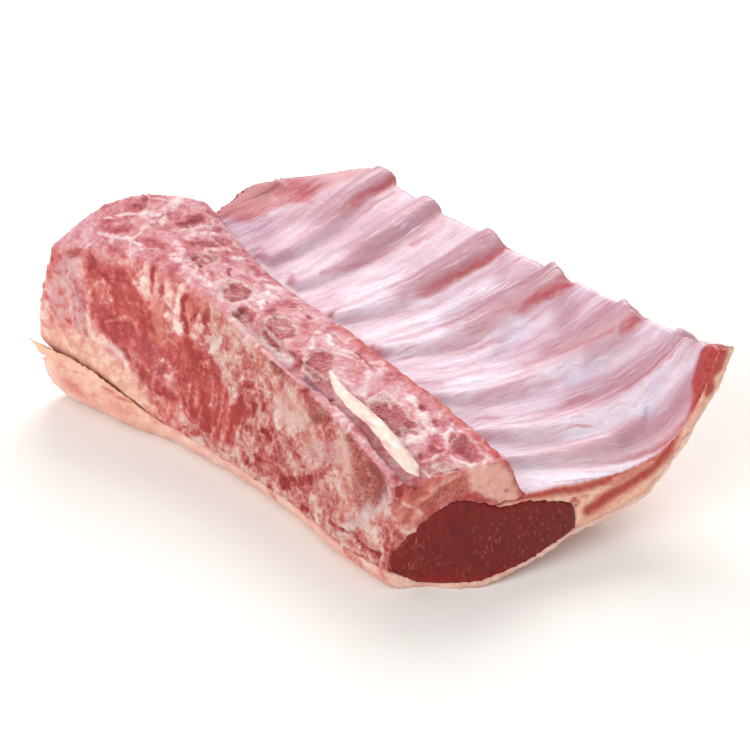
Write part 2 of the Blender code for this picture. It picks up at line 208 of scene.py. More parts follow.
def gridPoints(mesh):
    flat = np.zeros(len(mesh.vertices) * 3)
    mesh.vertices.foreach_get("co", flat)
    return flat.reshape(-1, 3) * 1000 + gridOrigin


def gridNormals(mesh):
    flat = np.zeros(len(mesh.vertices) * 3, np.float32)
    mesh.vertex_normals.foreach_get("vector", flat)
    return flat.reshape(-1, 3).astype(float)


def setPoints(mesh, points):
    points[:, 2] = np.maximum(points[:, 2], 0.0)
    mesh.vertices.foreach_set("co", ((points - gridOrigin) / 1000).astype(np.float32).ravel())
    mesh.update()


# Evens out the facets, and leaves the two cut ends as crisp as asked.
def relax(mesh, times, crispEnds):
    edges = np.zeros(len(mesh.edges) * 2, np.int32)
    mesh.edges.foreach_get("vertices", edges)
    a, b = edges.reshape(-1, 2).T
    size = len(mesh.vertices)
    count = np.maximum(1, np.bincount(a, minlength=size) + np.bincount(b, minlength=size))
    points = gridPoints(mesh)
    inward = np.minimum(-pastLoin(points), pastShoulder(points))
    freedom = 0.5 * (1 - crispEnds * easeBetween(2.2, 0.8, inward))[:, None]
    for _ in range(times):
        middle = np.stack([np.bincount(a, points[b, k], size) + np.bincount(b, points[a, k], size) for k in range(3)], 1)
        points += freedom * (middle / count[:, None] - points)
    setPoints(mesh, points)


def evenSkin(name, nodes, s):
    piece = skinOver(name, nodes, s["voxel"])
    relax(piece.data, s["evening"], s["crispEnds"])
    return piece, piece.data, gridPoints(piece.data), gridNormals(piece.data)


def setMasks(mesh, masks):
    for name, values in masks.items():
        layer = mesh.attributes.new(name, "FLOAT", "POINT")
        layer.data.foreach_set("value", np.asarray(values, np.float32))


# Shader maths: a socket that can be added to, multiplied and so on.


class Tap:
    def __init__(self, board, socket):
        self.board, self.socket = board, socket

    def work(self, operation, a, b):
        return self.board.add("Math", {"operation": operation}, [a, b])

    def __add__(self, other): return self.work("ADD", self, other)
    def __radd__(self, other): return self.work("ADD", other, self)
    def __sub__(self, other): return self.work("SUBTRACT", self, other)
    def __rsub__(self, other): return self.work("SUBTRACT", other, self)
    def __mul__(self, other): return self.work("MULTIPLY", self, other)

    def ease(self, low, high):
        return self.board.add("MapRange", {"interpolation_type": "SMOOTHSTEP"}, [self, low, high, 0.0, 1.0])


# How the studio lifts a paint on the screen, and how all the wet meat takes the light.
studioLook = {"veil": 0.03, "gain": 1.02}
wetMeat = {"Coat Roughness": 0.22, "Subsurface Radius": (1, 0.3, 0.2), "Subsurface Scale": 0.004}


# A colour as it should look on a screen, 0 to 255, as the paint that gives it under the studio's light.
def tone(red, green, blue):
    def linear(value):
        value /= 255
        value = value / 12.92 if value <= 0.04045 else ((value + 0.055) / 1.055) ** 2.4
        return max(0.003, (value - studioLook["veil"]) / studioLook["gain"])
    return (linear(red), linear(green), linear(blue), 1.0)


class Board:
    def __init__(self, name, tones=None):
        self.material = bpy.data.materials.new(name)
        self.material.use_nodes = True
        self.tree = self.material.node_tree
        self.shader = self.tree.nodes["Principled BSDF"]
        self.tones = tones
        self.place = self.add("TexCoord", {}, {}, "Object")

    def put(self, node, values):
        for key, value in values.items():
            if isinstance(value, Tap):
                self.tree.links.new(value.socket, node.inputs[key])
            else:
                node.inputs[key].default_value = value

    def add(self, kind, settings, values, output=0):
        node = self.tree.nodes.new("ShaderNode" + kind)
        for key, value in settings.items():
            setattr(node, key, value)
        self.put(node, values if isinstance(values, dict) else dict(enumerate(values)))
        return Tap(self, node.outputs[output])

    def masks(self, names):
        return [self.add("Attribute", {"attribute_name": name}, {}, "Fac") for name in names.split()]

    def stretched(self, scales, turn=(0, 0, 0)):
        turned = [math.radians(a) for a in turn]
        return self.add("Mapping", {}, {"Vector": self.place, "Rotation": turned, "Scale": scales})

    def noise(self, scale, detail, roughness=0.55, vector=None, distortion=0.0):
        values = {"Vector": vector or self.place, "Scale": scale, "Detail": detail, "Roughness": roughness,
                  "Distortion": distortion}
        return self.add("TexNoise", {}, values, "Fac")

    def cells(self, scale, vector=None, feature="F1"):
        return self.add("TexVoronoi", {"feature": feature}, {"Vector": vector or self.place, "Scale": scale}, "Distance")

    # The colours come from the piece's dictionary by name, or from another node.
    def tint(self, colour):
        return tone(*self.tones[colour]) if isinstance(colour, str) else colour

    def ramp(self, value, name):
        made = self.add("ValToRGB", {}, [value], "Color")
        band = made.socket.node.color_ramp
        for (place, *colour), slot in zip(self.tones[name], list(band.elements) + [None] * 9):
            slot = slot or band.elements.new(place)
            slot.position, slot.color = place, tone(*colour)
        return made

    def blend(self, first, second, factor):
        return self.add("Mix", {"data_type": "RGBA"}, {0: factor, 6: self.tint(first), 7: self.tint(second)}, 2)

    def paint(self, colour, layers):
        for tint, factor in layers:
            colour = self.blend(colour, tint, factor)
        return colour

    def finish(self, colour, roughness, height, depth, coat, soak):
        bump = self.add("Bump", {}, {"Strength": 1.0, "Distance": depth, "Height": height})
        self.put(self.shader, {"Base Color": colour, "Roughness": roughness, "Coat Weight": coat,
                               "Subsurface Weight": soak, "Normal": bump, **wetMeat})
        return self.material


# Camera, light and floor.

viewpoint = {
    "azimuth": 51.0, "elevation": 31.0, "distance": 0.7, "target": (-0.00475, 0.01235, 0.025),
    "sensor": 36, "lens": 93.12, "shiftX": -0.01333, "clipStart": 0.01,
}


def placeCamera(v):
    a, e = math.radians(v["azimuth"]), math.radians(v["elevation"])
    back = Vector((math.sin(a) * math.cos(e), -math.cos(a) * math.cos(e), math.sin(e)))
    right = Vector((math.cos(a), math.sin(a), 0))
    spot = Vector(v["target"]) + back * v["distance"]
    data = bpy.data.cameras.new("camera")
    data.sensor_width = v["sensor"]
    data.lens = v["lens"]
    data.shift_x = v["shiftX"]
    data.clip_start = v["clipStart"]
    camera = placed("camera", data)
    turned = Matrix([right, back.cross(right), back]).transposed().to_4x4()
    camera.matrix_world = Matrix.Translation(spot) @ turned
    bpy.context.scene.camera = camera


placeCamera(viewpoint)

studio = {
    "world": 0.68, "worldTint": (1.0, 0.995, 0.985, 1),
    "lamps": [  # name, place, size, watts, colour
        ("sky window", (-0.75, 0.65, 1.0), 0.8, 11.5, (1.0, 0.99, 0.98)),
        ("front fill", (0.15, -1.1, 0.6), 0.9, 7.5, (1.0, 0.98, 0.96)),
    ],
    "floor": {"Base Color": tone(252, 250, 247), "Roughness": 0.8, "Specular IOR Level": 0.0}, "floorHalf": 3,
}


def lightStudio(s):
    scene = bpy.context.scene
    scene.view_settings.view_transform = "Standard"
    scene.view_settings.look = "None"
    world = bpy.data.worlds.new("studio")
    world.use_nodes = True
    world.node_tree.nodes["Background"].inputs["Color"].default_value = s["worldTint"]
    world.node_tree.nodes["Background"].inputs["Strength"].default_value = s["world"]
    scene.world = world
    for name, spot, size, watts, colour in s["lamps"]:
        lamp = bpy.data.lights.new(name, "AREA")
        lamp.size = size
        lamp.energy = watts
        lamp.color = colour
        holder = placed(name, lamp)
        holder.location = spot
        holder.rotation_euler = Vector(spot).to_track_quat("Z", "Y").to_euler()
    mesh = bpy.data.meshes.new("floor")
    r = s["floorHalf"]
    mesh.from_pydata([(-r, -r, 0), (r, -r, 0), (r, r, 0), (-r, r, 0)], [], [(0, 1, 2, 3)])
    floor = placed("floor", mesh)
    board = Board("paleFloor")
    board.put(board.shader, s["floor"])
    mesh.materials.append(board.material)


lightStudio(studio)
print("camera and studio placed")

# The sawn side: the cut backbone on top and the muscle and blade bones below it.
# Paint rows are (width, points, strength) in millimetres: along and up on the face, along and across on the strip on top,
# and across and up on the near cut. Relief is in millimetres too. Tones are screen colours, and a ramp's rows start
# with their place on it.

sawnSide = {
    "voxel": 0.00068, "evening": 4, "crispEnds": 1.0, "sway": 0.85,
    "loinCut": ((-1.5, -0.5), (0.4, 0.7)), "shoulderCut": ((1.5, 0.5), (-0.4, -0.7)),  # reach and facing
    "relief": {"white": 0.45, "dark": -0.5, "red": -0.12, "peach": 0.25, "canal": -0.8, "pits": -0.5},
    "reliefLimits": (-1.4, 0.8), "finish": {"depth": 0.0009, "coat": 0.1, "soak": 0.1},
    "tones": {
        "flesh": [(0.18, 160, 60, 58), (0.34, 194, 90, 86), (0.48, 212, 126, 119), (0.6, 226, 164, 156),
                  (0.74, 238, 198, 189), (0.9, 248, 226, 216)],
        "rosy": [(0.18, 158, 62, 70), (0.34, 196, 98, 106), (0.48, 216, 140, 148), (0.6, 228, 172, 180),
                 (0.74, 240, 202, 206), (0.9, 250, 232, 228)],
        "peach": (224, 150, 128), "lilac": (204, 160, 168), "veiled": (176, 84, 92), "bright": (198, 84, 78),
        "blade": (226, 166, 158), "marrow": (190, 92, 96), "marrowHoles": (142, 58, 60), "marrowFat": (222, 158, 160),
        "outline": (247, 222, 216), "ridge": (206, 90, 84), "ridgeFat": (228, 146, 130), "canal": (160, 112, 134),
        "porous": (184, 92, 82), "pores": (130, 48, 42), "pits": (126, 46, 38), "porousFat": (226, 156, 138),
        "cartilage": (240, 188, 172), "cartilageRed": (226, 146, 132), "stripWeb": (247, 222, 218),
        "webEdge": (196, 84, 90), "faceWeb": (240, 210, 202), "dark": (158, 54, 52), "flapFat": (234, 182, 164),
        "flapCream": (248, 216, 194), "flapRed": (222, 140, 126)},
    "faceEdges": {"veiled": 2.5, "bright": 3.0, "blade": 2.0, "porous": 1.6, "flapFat": 3.0},
    "face": {
        "white": [(1.8, [(13, 49.5), (14.5, 52), (17, 53.3), (19.5, 52.5), (21, 50.5), (22, 48.5)]),
            (1.5, [(13, 49), (14, 43), (15.5, 37), (18, 32)], 0.7), (1.4, [(7, 50), (9, 43), (12, 37), (14, 32)], 0.7),
            (1.3, [(4, 56), (5, 48), (8, 40), (11, 33)], 0.5), (1.2, [(22, 40), (25, 41), (27, 43.5), (30, 44)], 0.7),
            (1.6, [(44.5, 20), (45, 25), (46, 30), (47, 33)], 0.9), (1.2, [(45, 25.5), (50, 27.5), (54, 31)], 0.8),
            (2.2, [(49, 32.5), (51, 30.5)], 0.7), (1, [(45, 25), (41, 28), (38, 30)], 0.5),
            (3.2, [(21, 33), (25, 31.5)], 0.7), (2.6, [(26, 33), (29, 30), (33, 27)], 0.8),
            (1.6, [(24, 28), (27, 26.5)], 0.7), (1.5, [(60, 27.5), (61, 22), (62, 17)], 0.7),
            (2.6, [(55, 19.5), (58, 20)], 0.6), (2.2, [(46, 18), (50, 19)], 0.6), (1.5, [(49, 17), (52, 14)], 0.5),
            (5, [(30, 65), (31, 58), (34, 54.5)], 0.9), (3, [(36, 53), (38, 50)], 0.6),
            (2.4, [(42, 60), (43, 55), (45, 50)], 0.6), (2.4, [(47.5, 60), (47, 53), (49, 47.5), (51, 44)]),
            (2, [(44, 48.5), (46, 48)], 0.9), (2, [(55, 44), (58, 45.5), (61, 44.5)], 0.8),
            (1.8, [(59, 47), (60, 50)], 0.6), (2.2, [(57, 52), (58, 49)], 0.6), (2, [(63, 37.5), (66, 38)], 0.8),
            (1.6, [(66, 41), (68, 45), (70, 49)], 0.6), (2.2, [(72, 46), (76, 43.5)], 0.7),
            (2.4, [(80, 45), (83, 43)], 0.6), (3, [(80, 33), (81, 29.5), (83, 33)], 0.9), (2, [(84, 38), (86, 41)], 0.6),
            (2, [(104, 35), (106, 31)], 0.9), (3, [(92, 43), (95, 46)], 0.5), (1.6, [(87, 22), (86, 17), (88, 14)], 0.6),
            (1.4, [(97, 27), (99, 24)], 0.5), (1.4, [(91, 26), (93, 28)], 0.5),
            (1.3, [(124, 21), (130, 25), (135, 30)], 0.5), (1.3, [(128, 14), (133, 17)], 0.6),
            (1.2, [(104, 27), (108, 31)], 0.4), (3, [(62, 58), (64, 55)], 0.5),
            (4, [(150, 15), (155, 19), (160, 26), (165, 34), (168, 39)], 0.8),
            (1.2, [(70, 33), (71, 27), (70.5, 22)], 0.4), (1.2, [(76, 32), (76.5, 22)], 0.35),
            (1.2, [(80, 26), (80.5, 15)], 0.35), (1.4, [(22, 63), (26, 61)], 0.6)],
        "dark": [(2.6, [(3, 60.5), (5.5, 62)]), (1.6, [(10, 60.5), (11.5, 58)], 0.7),
            (2.2, [(31, 32), (33.5, 29.5)], 0.7), (1.8, [(25, 42.5), (26.5, 41)], 0.6),
            (2.2, [(46.5, 31), (47.5, 27.5)], 0.8), (2.4, [(39.5, 24), (40.5, 20)], 0.7), (3, [(50, 22), (56, 20)], 0.5),
            (3, [(69.5, 21), (71.5, 15)], 0.8), (1.2, [(77, 22), (78, 14)], 0.6), (1.2, [(82, 22), (82.5, 14)], 0.6),
            (1.3, [(74, 30), (74.5, 18)], 0.5), (1, [(66, 33), (67, 22)], 0.5), (1.6, [(40, 57), (41, 55)], 0.8),
            (1.4, [(43, 52), (45, 50)], 0.6), (1.4, [(59.5, 11), (62, 11.5)], 0.6), (2, [(97, 15.5), (98, 15)]),
            (1.6, [(87.5, 24), (88, 20)], 0.7), (2.2, [(91, 24), (93, 22.5)], 0.7), (2.6, [(99.5, 26), (102, 24.5)], 0.8),
            (1.4, [(91.5, 12), (95, 11)], 0.5), (1.4, [(103, 29), (104, 27)], 0.6), (2.6, [(107, 8), (108, 6)], 0.8),
            (2.4, [(113, 21), (116, 19)], 0.5), (1.4, [(125, 10), (129, 11)], 0.9),
            (1.1, [(140, 12.7), (146, 12.6), (151, 14), (155, 13.5), (159, 11.5), (165, 11.5)]),
            (2.2, [(152, 14.5), (155, 13.5)], 0.8), (1.3, [(116.5, 35), (117, 31)], 0.5),
            (1.4, [(112, 12), (116, 13)], 0.5)],
        "red": [(3.4, [(113, 13.5), (119, 16.5), (125, 19.5), (129, 22.5), (134, 28)], 0.95),
            (2.6, [(132, 28), (136, 30), (142, 34)], 0.6), (4.5, [(84, 35), (85, 30), (83, 24)], 0.9),
            (3, [(61, 54), (62, 52)]), (1.8, [(63, 50), (65.5, 48)], 0.8),
            (1.9, [(50, 57), (50, 51), (52, 46.5), (55, 44)]), (1.7, [(34.5, 66), (35, 60), (36, 55)]),
            (2.2, [(28, 65), (29, 61)], 0.6), (3, [(21, 67), (22, 64)], 0.7), (2.2, [(87, 38), (90, 38.5)], 0.6),
            (2, [(96, 37), (97, 33)], 0.5), (2.4, [(65, 11.5), (68, 11.5)], 0.8), (5, [(92, 13), (100, 13)], 0.5),
            (2, [(90, 15), (96, 19)], 0.5), (3, [(170, 38), (171, 36)], 0.8), (2.4, [(117, 25), (121, 23)], 0.5),
            (3, [(153, 7.5), (158, 6)], 0.7), (2, [(105, 22), (109, 25)], 0.5), (1.6, [(54, 50), (56, 53)], 0.6),
            (1.6, [(68, 52), (70, 55)], 0.5), (1.6, [(74, 50), (77, 48)], 0.5), (1.8, [(92, 36), (94, 30)], 0.5)],
        "peach": [(3.2, [(38.5, 53), (41, 47), (43.5, 42), (45, 39)], 0.95), (3, [(3, 40), (2, 34)], 0.5),
            (6, [(58, 57), (68, 54), (78, 50)], 0.5), (5, [(88, 51), (99, 48), (103, 45)], 0.6),
            (8, [(146, 20), (150, 24), (147, 34)], 0.5), (8, [(122, 33), (126, 36)], 0.5), (2, [(24, 63), (22, 66)], 0.5)],
        "lilac": [(7, [(3, 58), (5, 50)]), (6, [(1, 56), (1, 46), (3, 38)], 0.9),
            (6, [(8, 50), (10, 42), (14, 35)], 0.85), (9, [(2, 64), (16, 64)], 0.6), (5, [(25, 31), (31, 29)], 0.7),
            (8, [(128, 31), (136, 36)], 0.7), (7, [(132, 22), (138, 19)], 0.4), (5, [(112, 27), (110, 22)], 0.4),
            (5, [(120, 52), (128, 52)], 0.4), (5, [(152, 16), (160, 26), (167, 37)], 0.9)]},
    "lean": [[(9, 59), (13, 60.5), (21, 60), (27, 58), (33, 54.5), (38, 51), (41, 47), (44, 46), (48, 45), (52, 42.5),
        (60, 42), (64, 41), (68, 40), (72, 37), (78, 33), (84, 31), (88, 33), (89, 28), (87, 20), (85, 14), (78, 12),
        (72, 13), (66, 15), (58, 17), (50, 18), (44, 20), (38, 24), (34, 29), (30, 31), (24, 34), (20, 37), (17, 42),
        (14, 48), (11, 53)]],
    "flapFat": [[(-6, 31), (3, 33), (12, 33.5), (21, 31), (31, 26), (41, 20), (47, 13), (30, 13), (10, 20), (-6, 22)]],
    "veiled": [[(24, 38), (34, 40), (44, 38), (52, 34), (56, 26), (52, 20), (44, 21), (38, 25), (32, 31), (26, 34)],
        [(14, 48), (22, 47), (24, 40), (18, 37)]],
    "bright": [[(22, 58), (32, 55), (40, 48), (38, 43), (30, 44), (24, 47), (22, 52)],
        [(46, 43), (56, 41), (60, 36), (54, 33), (47, 37)], [(64, 34), (72, 33), (86, 30), (84, 16), (74, 16), (66, 20)]],
    "blade": [[(102, 40), (106, 45), (112, 49), (119, 47), (121, 42), (118, 36), (111, 33), (105, 34)],
        [(137, 44), (143, 44), (147, 38), (146, 32), (141, 31), (137, 36)]],
    "porous": [[(119, 49), (124, 49.5), (130, 47.5), (134, 46), (133, 44), (128, 42), (125, 39), (122, 40), (121, 44)],
        [(95, 52.5), (99, 53.5), (104, 51.5), (108, 48.5), (104, 48.5), (99, 50)], [(141, 46), (148, 47), (156, 45),
        (163, 42), (167, 40), (165, 35), (160, 28), (154, 23), (149, 26), (148, 33), (146, 40), (142, 43)]],
    "pits": [(3.5, [(157, 40), (163, 36), (160, 31)]), (2, [(124, 42), (128, 44)]), (2, [(131, 45.5), (132, 45)]),
        (1.8, [(103, 50.5), (105, 49.5)]), (1.8, [(98, 51.5), (100, 52)]), (2, [(142.5, 44), (144, 44)]),
        (2.5, [(154, 33), (156, 36)], 0.6)],
    "strip": {
        "white": [(1.6, [(4, -12), (9, -5), (14, 4)]), (1.4, [(8, -17), (16, -12), (23, -10)], 0.8),
            (2, [(26, 18), (25, 6)], 0.8), (2.2, [(30, 20), (28, 9)], 0.8), (2, [(38, 18), (37, 9)], 0.8),
            (3, [(36, -4), (44, -3), (54, -2)], 0.9), (5, [(58, 18), (66, 20)], 0.8), (2.4, [(44, 20), (43, 15)], 0.8),
            (2, [(67, 15), (71, 9), (75, 6)]), (3, [(70, -3), (84, -3), (100, -1)], 0.8),
            (2.2, [(95, 18), (97, 12), (102, 7)], 0.9), (1.6, [(99, 17), (105, 14)], 0.7),
            (2.4, [(112, 8), (116, 4)], 0.4), (3, [(124, 15), (128, 11), (133, 5)], 0.7),
            (3.2, [(142, 17.5), (146, 16.8)]), (3.4, [(150, 15.5), (154, 14), (157, 12.5)]),
            (3, [(158, 13), (159, 3)], 0.9), (2, [(147, 5), (152, 4)], 0.7),
            (1.4, [(160, 20), (164, 15), (168, 11)], 0.9), (1.3, [(181, 15), (175, 12), (171, 10)], 0.9),
            (1.6, [(169, 10), (167, 2)], 0.8), (1, [(162, 14), (164, 20), (171, 21.5), (178, 20), (180, 15)], 0.8),
            (1.2, [(71, 19), (76, 21), (81, 18), (80, 14)], 0.6), (1.2, [(46, 20), (50, 24), (55, 21), (56, 17)], 0.6),
            (1.4, [(104, 1), (112, -1)], 0.6), (2.4, [(10, 17), (14, 10)], 0.5), (3, [(30, 2), (36, -1)], 0.6),
            (1.2, [(136, 3), (135, 12), (142, 13)], 0.7), (1.2, [(110, 15), (115, 18), (122, 16)], 0.6)],
        "dark": [(1.8, [(39, 3), (40, 2.5)]), (1.6, [(44, 2), (45.5, 1)], 0.9), (1.2, [(49.5, 10.5), (52, 8)]),
            (2.2, [(62, 9.5), (64, 8)], 0.9), (3, [(58, 5), (61, 4)], 0.9), (2, [(65.5, 5), (65, 1)], 0.9),
            (1.4, [(60, 0.5), (58, 2)], 0.7), (1.6, [(86, 18), (87, 17.5)]), (1.8, [(76.5, 10), (77, 8)], 0.7),
            (1.6, [(82, 0.5), (84, 3)], 0.7), (1.4, [(107, 1.2), (108, 1)]), (1.6, [(110.5, 1.5), (112, 1)], 0.8),
            (1.6, [(106, 10), (108, 8)], 0.7), (1.2, [(113, 18.5), (119, 18), (123, 17)], 0.8),
            (1.6, [(148, 17.5), (149.5, 16.5)]), (1.2, [(155.5, 16.5), (157, 15.5)]), (3, [(152, 9), (154, 3)], 0.8),
            (2, [(140, 6), (144, 3)], 0.6), (2.6, [(177, 9), (176, 2)], 0.8), (1.4, [(124, -2.2), (130, -4.6)], 0.9),
            (1.3, [(145, -4.4), (148, -4.8)], 0.9), (1.6, [(18, 1), (16.5, -1)], 0.7), (1.4, [(32, 7), (33, 5.5)], 0.6),
            (1.2, [(164, 3), (166, 1.5)], 0.7)],
        "red": [(3, [(22, 18), (22, 8)], 0.7), (4, [(33, 20), (35, 10)], 0.7), (5, [(42, 10), (41, 3)], 0.7),
            (6.5, [(51, 20.5), (52, 20)], 0.7), (7, [(74, 18), (78, 16)], 0.6), (5, [(6, 10), (7, 0)], 0.5),
            (6, [(12, -10), (22, -6), (31, -3)], 0.45), (5, [(40, -6), (34, -7)], 0.4), (5, [(103, 19), (108, 19)], 0.4),
            (4, [(88, 14), (91, 13)], 0.4), (8, [(168, 17.5), (173, 17)], 0.85), (4, [(162, 12), (165, 8)], 0.7),
            (5, [(115, 14.5), (121, 13)], 0.4), (6, [(141, 8), (148, 10)], 0.5), (3, [(66, 13), (69, 12)], 0.5),
            (3, [(97, 12), (100, 8)], 0.5), (2, [(146, -5.5), (160, -7)], 0.5), (4, [(27, 12), (26, 3)], 0.3)],
        "peach": [(3.5, [(54, -6.5), (74, -7), (96, -6)], 0.7), (2, [(90, 17), (84, 15)], 0.3),
            (3, [(182, 20), (181, 6)], 0.6), (5, [(14, -3), (22, -5)], 0.3)],
        "lilac": [(4, [(70, -2), (84, -3), (104, -3)], 0.8), (6, [(128, 14), (130, 8)], 0.8),
            (3, [(115, -5.5), (126, -6)], 0.9), (5, [(88, 5), (92, -1)], 0.3), (6, [(62, 4), (60, 2)], 0.5),
            (4, [(150, 4), (154, 7)], 0.5), (5, [(50, 12), (54, 15)], 0.3)]},
    "marrow": [[(57, 10), (61, 11), (65, 11), (67, 6), (67, 0), (62, -2), (58, 0), (56, 5)],
        [(80, 8), (84, 10), (90, 9), (94, 6), (93, -1), (87, -2), (81, 0), (79, 4)],
        [(105, 10), (109, 12), (112, 9), (116, 7), (118, 3), (112, 0), (106, 0), (104, 6)],
        [(137, 11), (142, 13), (147, 11), (153, 11), (158, 8), (157, 2), (150, 1), (142, 1), (137, 3), (136, 7)],
        [(172, 8), (178, 10), (180, 5), (178, 0), (172, 0), (170, 4)],
        [(38, 8), (42, 11), (44, 7), (46, 2), (43, 0), (38, 1)]],
    "ridge": [(5.5, [(96, 24), (112, 24), (132, 25), (152, 25), (172, 24), (186, 25)])],
    # canal: the emptied groove of the spinal canal, sunk in the relief; its purplish grey is painted shade inside the
    # groove.
    "canal": [[(108, -1), (114, -0.8), (121, -2), (125, -4.2), (119, -5), (112, -4)]],
    "near": {
        "white": [(2.2, [(-14, 42), (-12, 36), (-14, 30)], 0.9), (1.2, [(-10, 34), (-6, 31), (-3, 28)], 0.6),
            (1, [(-13, 27), (-9, 22), (-5, 22)], 0.6), (1.6, [(12, 41), (17, 42)], 0.8),
            (1.4, [(13, 40), (14, 34), (18, 30)], 0.7), (1, [(-12, 20), (-8, 17)], 0.4),
            (1, [(-3, 34), (3, 38), (9, 40)], 0.4)],
        "dark": [(1.6, [(24, 31), (24.2, 30.6)]), (1.6, [(-15, 17), (-14, 12)], 0.9),
            (1.2, [(-13.5, 24), (-10, 19)], 0.5), (1.4, [(-14, 9), (-12, 5)], 0.9), (2.4, [(1, 34), (9, 38)], 0.5)],
        "red": [(2.6, [(-8.5, 27), (-6.5, 30)], 0.8), (2.4, [(-10.5, 37), (-11, 40)]), (1.8, [(-12, 22), (-11, 24)], 0.7),
            (1.5, [(19, 43), (24, 39), (27, 32)], 0.9), (2, [(-6, 35), (-2, 36)], 0.5)],
        "peach": [(9, [(-8, 30), (2, 38), (12, 38)], 0.6), (6, [(-13, 20), (-8, 30)], 0.5)],
        "lilac": [(3, [(-15, 40), (-15, 30)], 0.6)]},
    "cartilage": [[(12, 41), (17, 43), (22, 42), (25, 37), (27.5, 31), (27, 27), (21, 26.5), (17, 30.5), (13, 33.5)]],
    "spongy": [[(-4, 32), (2, 36), (8, 38.5), (12.5, 39.5), (12, 34), (8, 31), (2, 29), (-3, 27)]],
}


def paintSawnSide(s):
    b = Board("sawnMeatAndBone", s["tones"])
    fleck = b.noise(620.0, 4.0, 0.72)
    grain = b.noise(300.0, 5.0, 0.68, None, 0.4)
    cloud = b.noise(90.0, 4.0, 0.6)
    slant = b.noise(230.0, 4.0, 0.65, b.stretched((1.0, 1.0, 0.35), (0, -35, 0)))
    strand = b.noise(420.0, 3.0, 0.6, b.stretched((1.0, 1.0, 0.12)))
    holes = 1 - b.cells(950.0)
    swirl = b.add("TexNoise", {}, {"Vector": b.place, "Scale": 80.0, "Detail": 3.0}, "Color")
    bent = b.add("VectorMath", {"operation": "MULTIPLY_ADD"}, [swirl, (0.01, 0.01, 0.01), b.place])
    web = b.cells(105.0, bent, "DISTANCE_TO_EDGE")
    white, dark, red, peach, lilac, lean, bright, veiled = b.masks("white dark red peach lilac lean bright veiled")
    blade, porous, pits, marrow, outline, ridge, canal = b.masks("blade porous pits marrow outline ridge canal")
    fatCloud, flapFat, crumb, fibre, top, near, face = b.masks("fatCloud flapFat crumb fibre top near face")
    marbling = grain * 0.8 + fleck * 0.35 + slant * 0.25 - 0.2
    fatness = marbling + white * 0.4 - red * 0.3 - dark * 0.34 - lean * 0.19 \
        + (fleck - 0.5) * crumb * 0.4 + (grain - 0.5) * crumb * 0.45 + (strand - 0.5) * fibre * 0.9 + crumb * 0.05 \
        + blade * 0.12 + peach * 0.06 + (cloud - 0.5) * 0.4 + fatCloud * 0.15 - near * 0.07
    colour = b.paint(b.blend(b.ramp(fatness, "flesh"), b.ramp(fatness, "rosy"), top), [
        ("peach", peach * 0.5),
        ("lilac", lilac * grain.ease(0.34, 0.58) * 0.7),
        ("veiled", veiled * (1 - grain).ease(0.4, 0.65) * 0.6),
        ("bright", bright * (1 - grain).ease(0.35, 0.6) * 0.45),
        ("blade", blade * cloud.ease(0.2, 0.6) * 0.5),
        ("marrow", marrow * 0.7),
        ("marrowHoles", marrow * holes.ease(0.5, 0.85) * grain.ease(0.35, 0.6) * 0.75),
        ("marrowFat", marrow * fleck.ease(0.52, 0.64) * 0.75),
        ("outline", outline * 0.75),
        ("ridge", ridge * 0.8),
        ("ridgeFat", ridge * grain.ease(0.5, 0.64) * 0.7),
        # The canal's purplish grey is painted shade in the emptied groove.
        ("canal", canal * 0.9),
        ("porous", porous * 0.65),
        ("pores", porous * holes.ease(0.45, 0.8) * 0.6),
        ("pits", pits * grain.ease(0.3, 0.6) * 0.8),
        ("porousFat", porous * fleck.ease(0.54, 0.68) * 0.6),
        ("cartilage", near * blade * 0.75),
        ("cartilageRed", near * blade * grain.ease(0.5, 0.66) * 0.6),
        ("stripWeb", (1 - web.ease(0.01, 0.1)) * top * cloud.ease(0.46, 0.62) * 0.65),
        ("webEdge", web.ease(0.06, 0.12) * (1 - web.ease(0.12, 0.2)) * top * grain.ease(0.45, 0.6) * 0.45),
        ("faceWeb", (1 - web.ease(0.01, 0.08)) * face * cloud.ease(0.5, 0.64) * (1 - lean * 0.5) * 0.5),
        ("dark", dark * grain.ease(0.25, 0.5) * 0.6),
        ("flapFat", flapFat * (cloud + 0.25)),
        ("flapCream", flapFat * grain.ease(0.45, 0.62) * 0.7),
        ("flapRed", flapFat * cloud.ease(0.54, 0.66) * 0.5),
    ])
    height = grain * 0.9 + fleck * 0.6 + slant * 0.4 + crumb * fleck * 1.2 - marrow * holes * 0.9
    return b.finish(colour, 0.44 + fleck * 0.2, height, **s["finish"])


